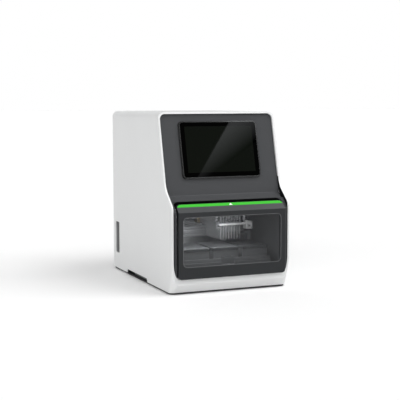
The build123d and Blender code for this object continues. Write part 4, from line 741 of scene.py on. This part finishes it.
def reflector(name, corners, strength, fade=None):
    """A glowing card that only reflections see; fade is (direction, start, length, end strength)."""
    bm = bmesh.new()
    bm.faces.new([bm.verts.new(v) for v in corners])
    mesh = bpy.data.meshes.new(name)
    bm.to_mesh(mesh)
    bm.free()
    card = bpy.data.objects.new(name, mesh)
    card_mat = bpy.data.materials.new(name)
    card_mat.use_nodes = True
    nt = card_mat.node_tree
    nt.nodes.clear()
    out = nt.nodes.new("ShaderNodeOutputMaterial")
    glow = nt.nodes.new("ShaderNodeEmission")
    glow.inputs["Color"].default_value = (0.95, 0.98, 1.0, 1)
    glow.inputs["Strength"].default_value = strength
    if fade:
        direction, start, length, end = fade
        coords = nt.nodes.new("ShaderNodeTexCoord")
        across = nt.nodes.new("ShaderNodeVectorMath")
        across.operation = "DOT_PRODUCT"
        across.inputs[1].default_value = direction
        nt.links.new(coords.outputs["Object"], across.inputs[0])
        ramp = nt.nodes.new("ShaderNodeMapRange")
        ramp.inputs["From Min"].default_value = start
        ramp.inputs["From Max"].default_value = start + length
        ramp.inputs["To Min"].default_value = strength
        ramp.inputs["To Max"].default_value = end
        nt.links.new(across.outputs["Value"], ramp.inputs["Value"])
        nt.links.new(ramp.outputs["Result"], glow.inputs["Strength"])
    nt.links.new(glow.outputs[0], out.inputs["Surface"])
    mesh.materials.append(card_mat)
    scene.collection.objects.link(card)
    card.visible_camera = False
    card.visible_diffuse = False
    card.visible_shadow = False
    card.visible_transmission = False


# card in front whose edge shows as the slanting sheen on the screen: a corner, two edges and its fade
CARD_Y, CARD_LENGTH, CARD_WIDTH = -4.0, 1.6, 1.7
FADE_START, FADE_LENGTH = -0.850, 0.193
card_corner = Vector((1.540, CARD_Y, 1.847))
card_edge = Vector((344, 0, 448)).normalized()
card_back = Vector((336, 0, 211)).normalized()
card_fade = Vector((0.559, 0, -0.829))
sheen_corners = (card_corner, card_corner + CARD_LENGTH * card_edge, card_corner + CARD_WIDTH * card_back)
reflector("sheen_card", sheen_corners, 7.0, fade=(card_fade, FADE_START, FADE_LENGTH, 0.0))
# card overhead that lights the door's bevel, the fascia's crease and the upper rims
reflector("overhead_card", (
    (0.1, -1.7, 2.93), (2.3, -1.7, 2.93), (2.3, -0.2, 2.93), (0.1, -0.2, 2.93),
), 4.2)
# card in front, below what the screen mirrors, that lights the front rims and the fascia's foot
reflector("front_card", (
    (-0.5, CARD_Y, 0.5), (3.4, CARD_Y, 0.5), (3.4, CARD_Y, 1.68), (-0.5, CARD_Y, 1.68),
), 2.2)
# card at the left that lights the cover's front left rim
reflector("left_card", ((-2.9, -2.0, -0.5), (-2.9, -2.0, 1.6), (-2.6, -0.7, 1.6), (-2.6, -0.7, -0.5)), 6.0)

# ---------------------------------------------------------------- camera
YAW, PITCH, ROLL = math.radians(22.6209), math.radians(5.7407), math.radians(-0.12536)
FOCAL_PIXELS, FRAME_PIXELS = 980.622, 400
SHIFT_PIXELS = 0.5
CAMERA_PLACE = (-1.1742, -2.8497, 0.5540)
cam_data = bpy.data.cameras.new("camera")
cam_data.sensor_width = 36.0
cam_data.lens = FOCAL_PIXELS / FRAME_PIXELS * cam_data.sensor_width
cam_data.shift_x = -SHIFT_PIXELS / FRAME_PIXELS
cam_data.shift_y = SHIFT_PIXELS / FRAME_PIXELS
cam_data.clip_end = 100
camera = bpy.data.objects.new("camera", cam_data)
scene.collection.objects.link(camera)
ahead = Vector((math.sin(YAW) * math.cos(PITCH), math.cos(YAW) * math.cos(PITCH), -math.sin(PITCH)))
right = Vector((math.cos(YAW), -math.sin(YAW), 0))
up = right.cross(ahead)
rolled_right = right * math.cos(ROLL) + up * math.sin(ROLL)
rolled_up = up * math.cos(ROLL) - right * math.sin(ROLL)
camera.matrix_world = Matrix.Translation(CAMERA_PLACE) @ Matrix(
    (rolled_right, rolled_up, -ahead)
).transposed().to_4x4()
scene.camera = camera
scene.view_settings.view_transform = "Standard"
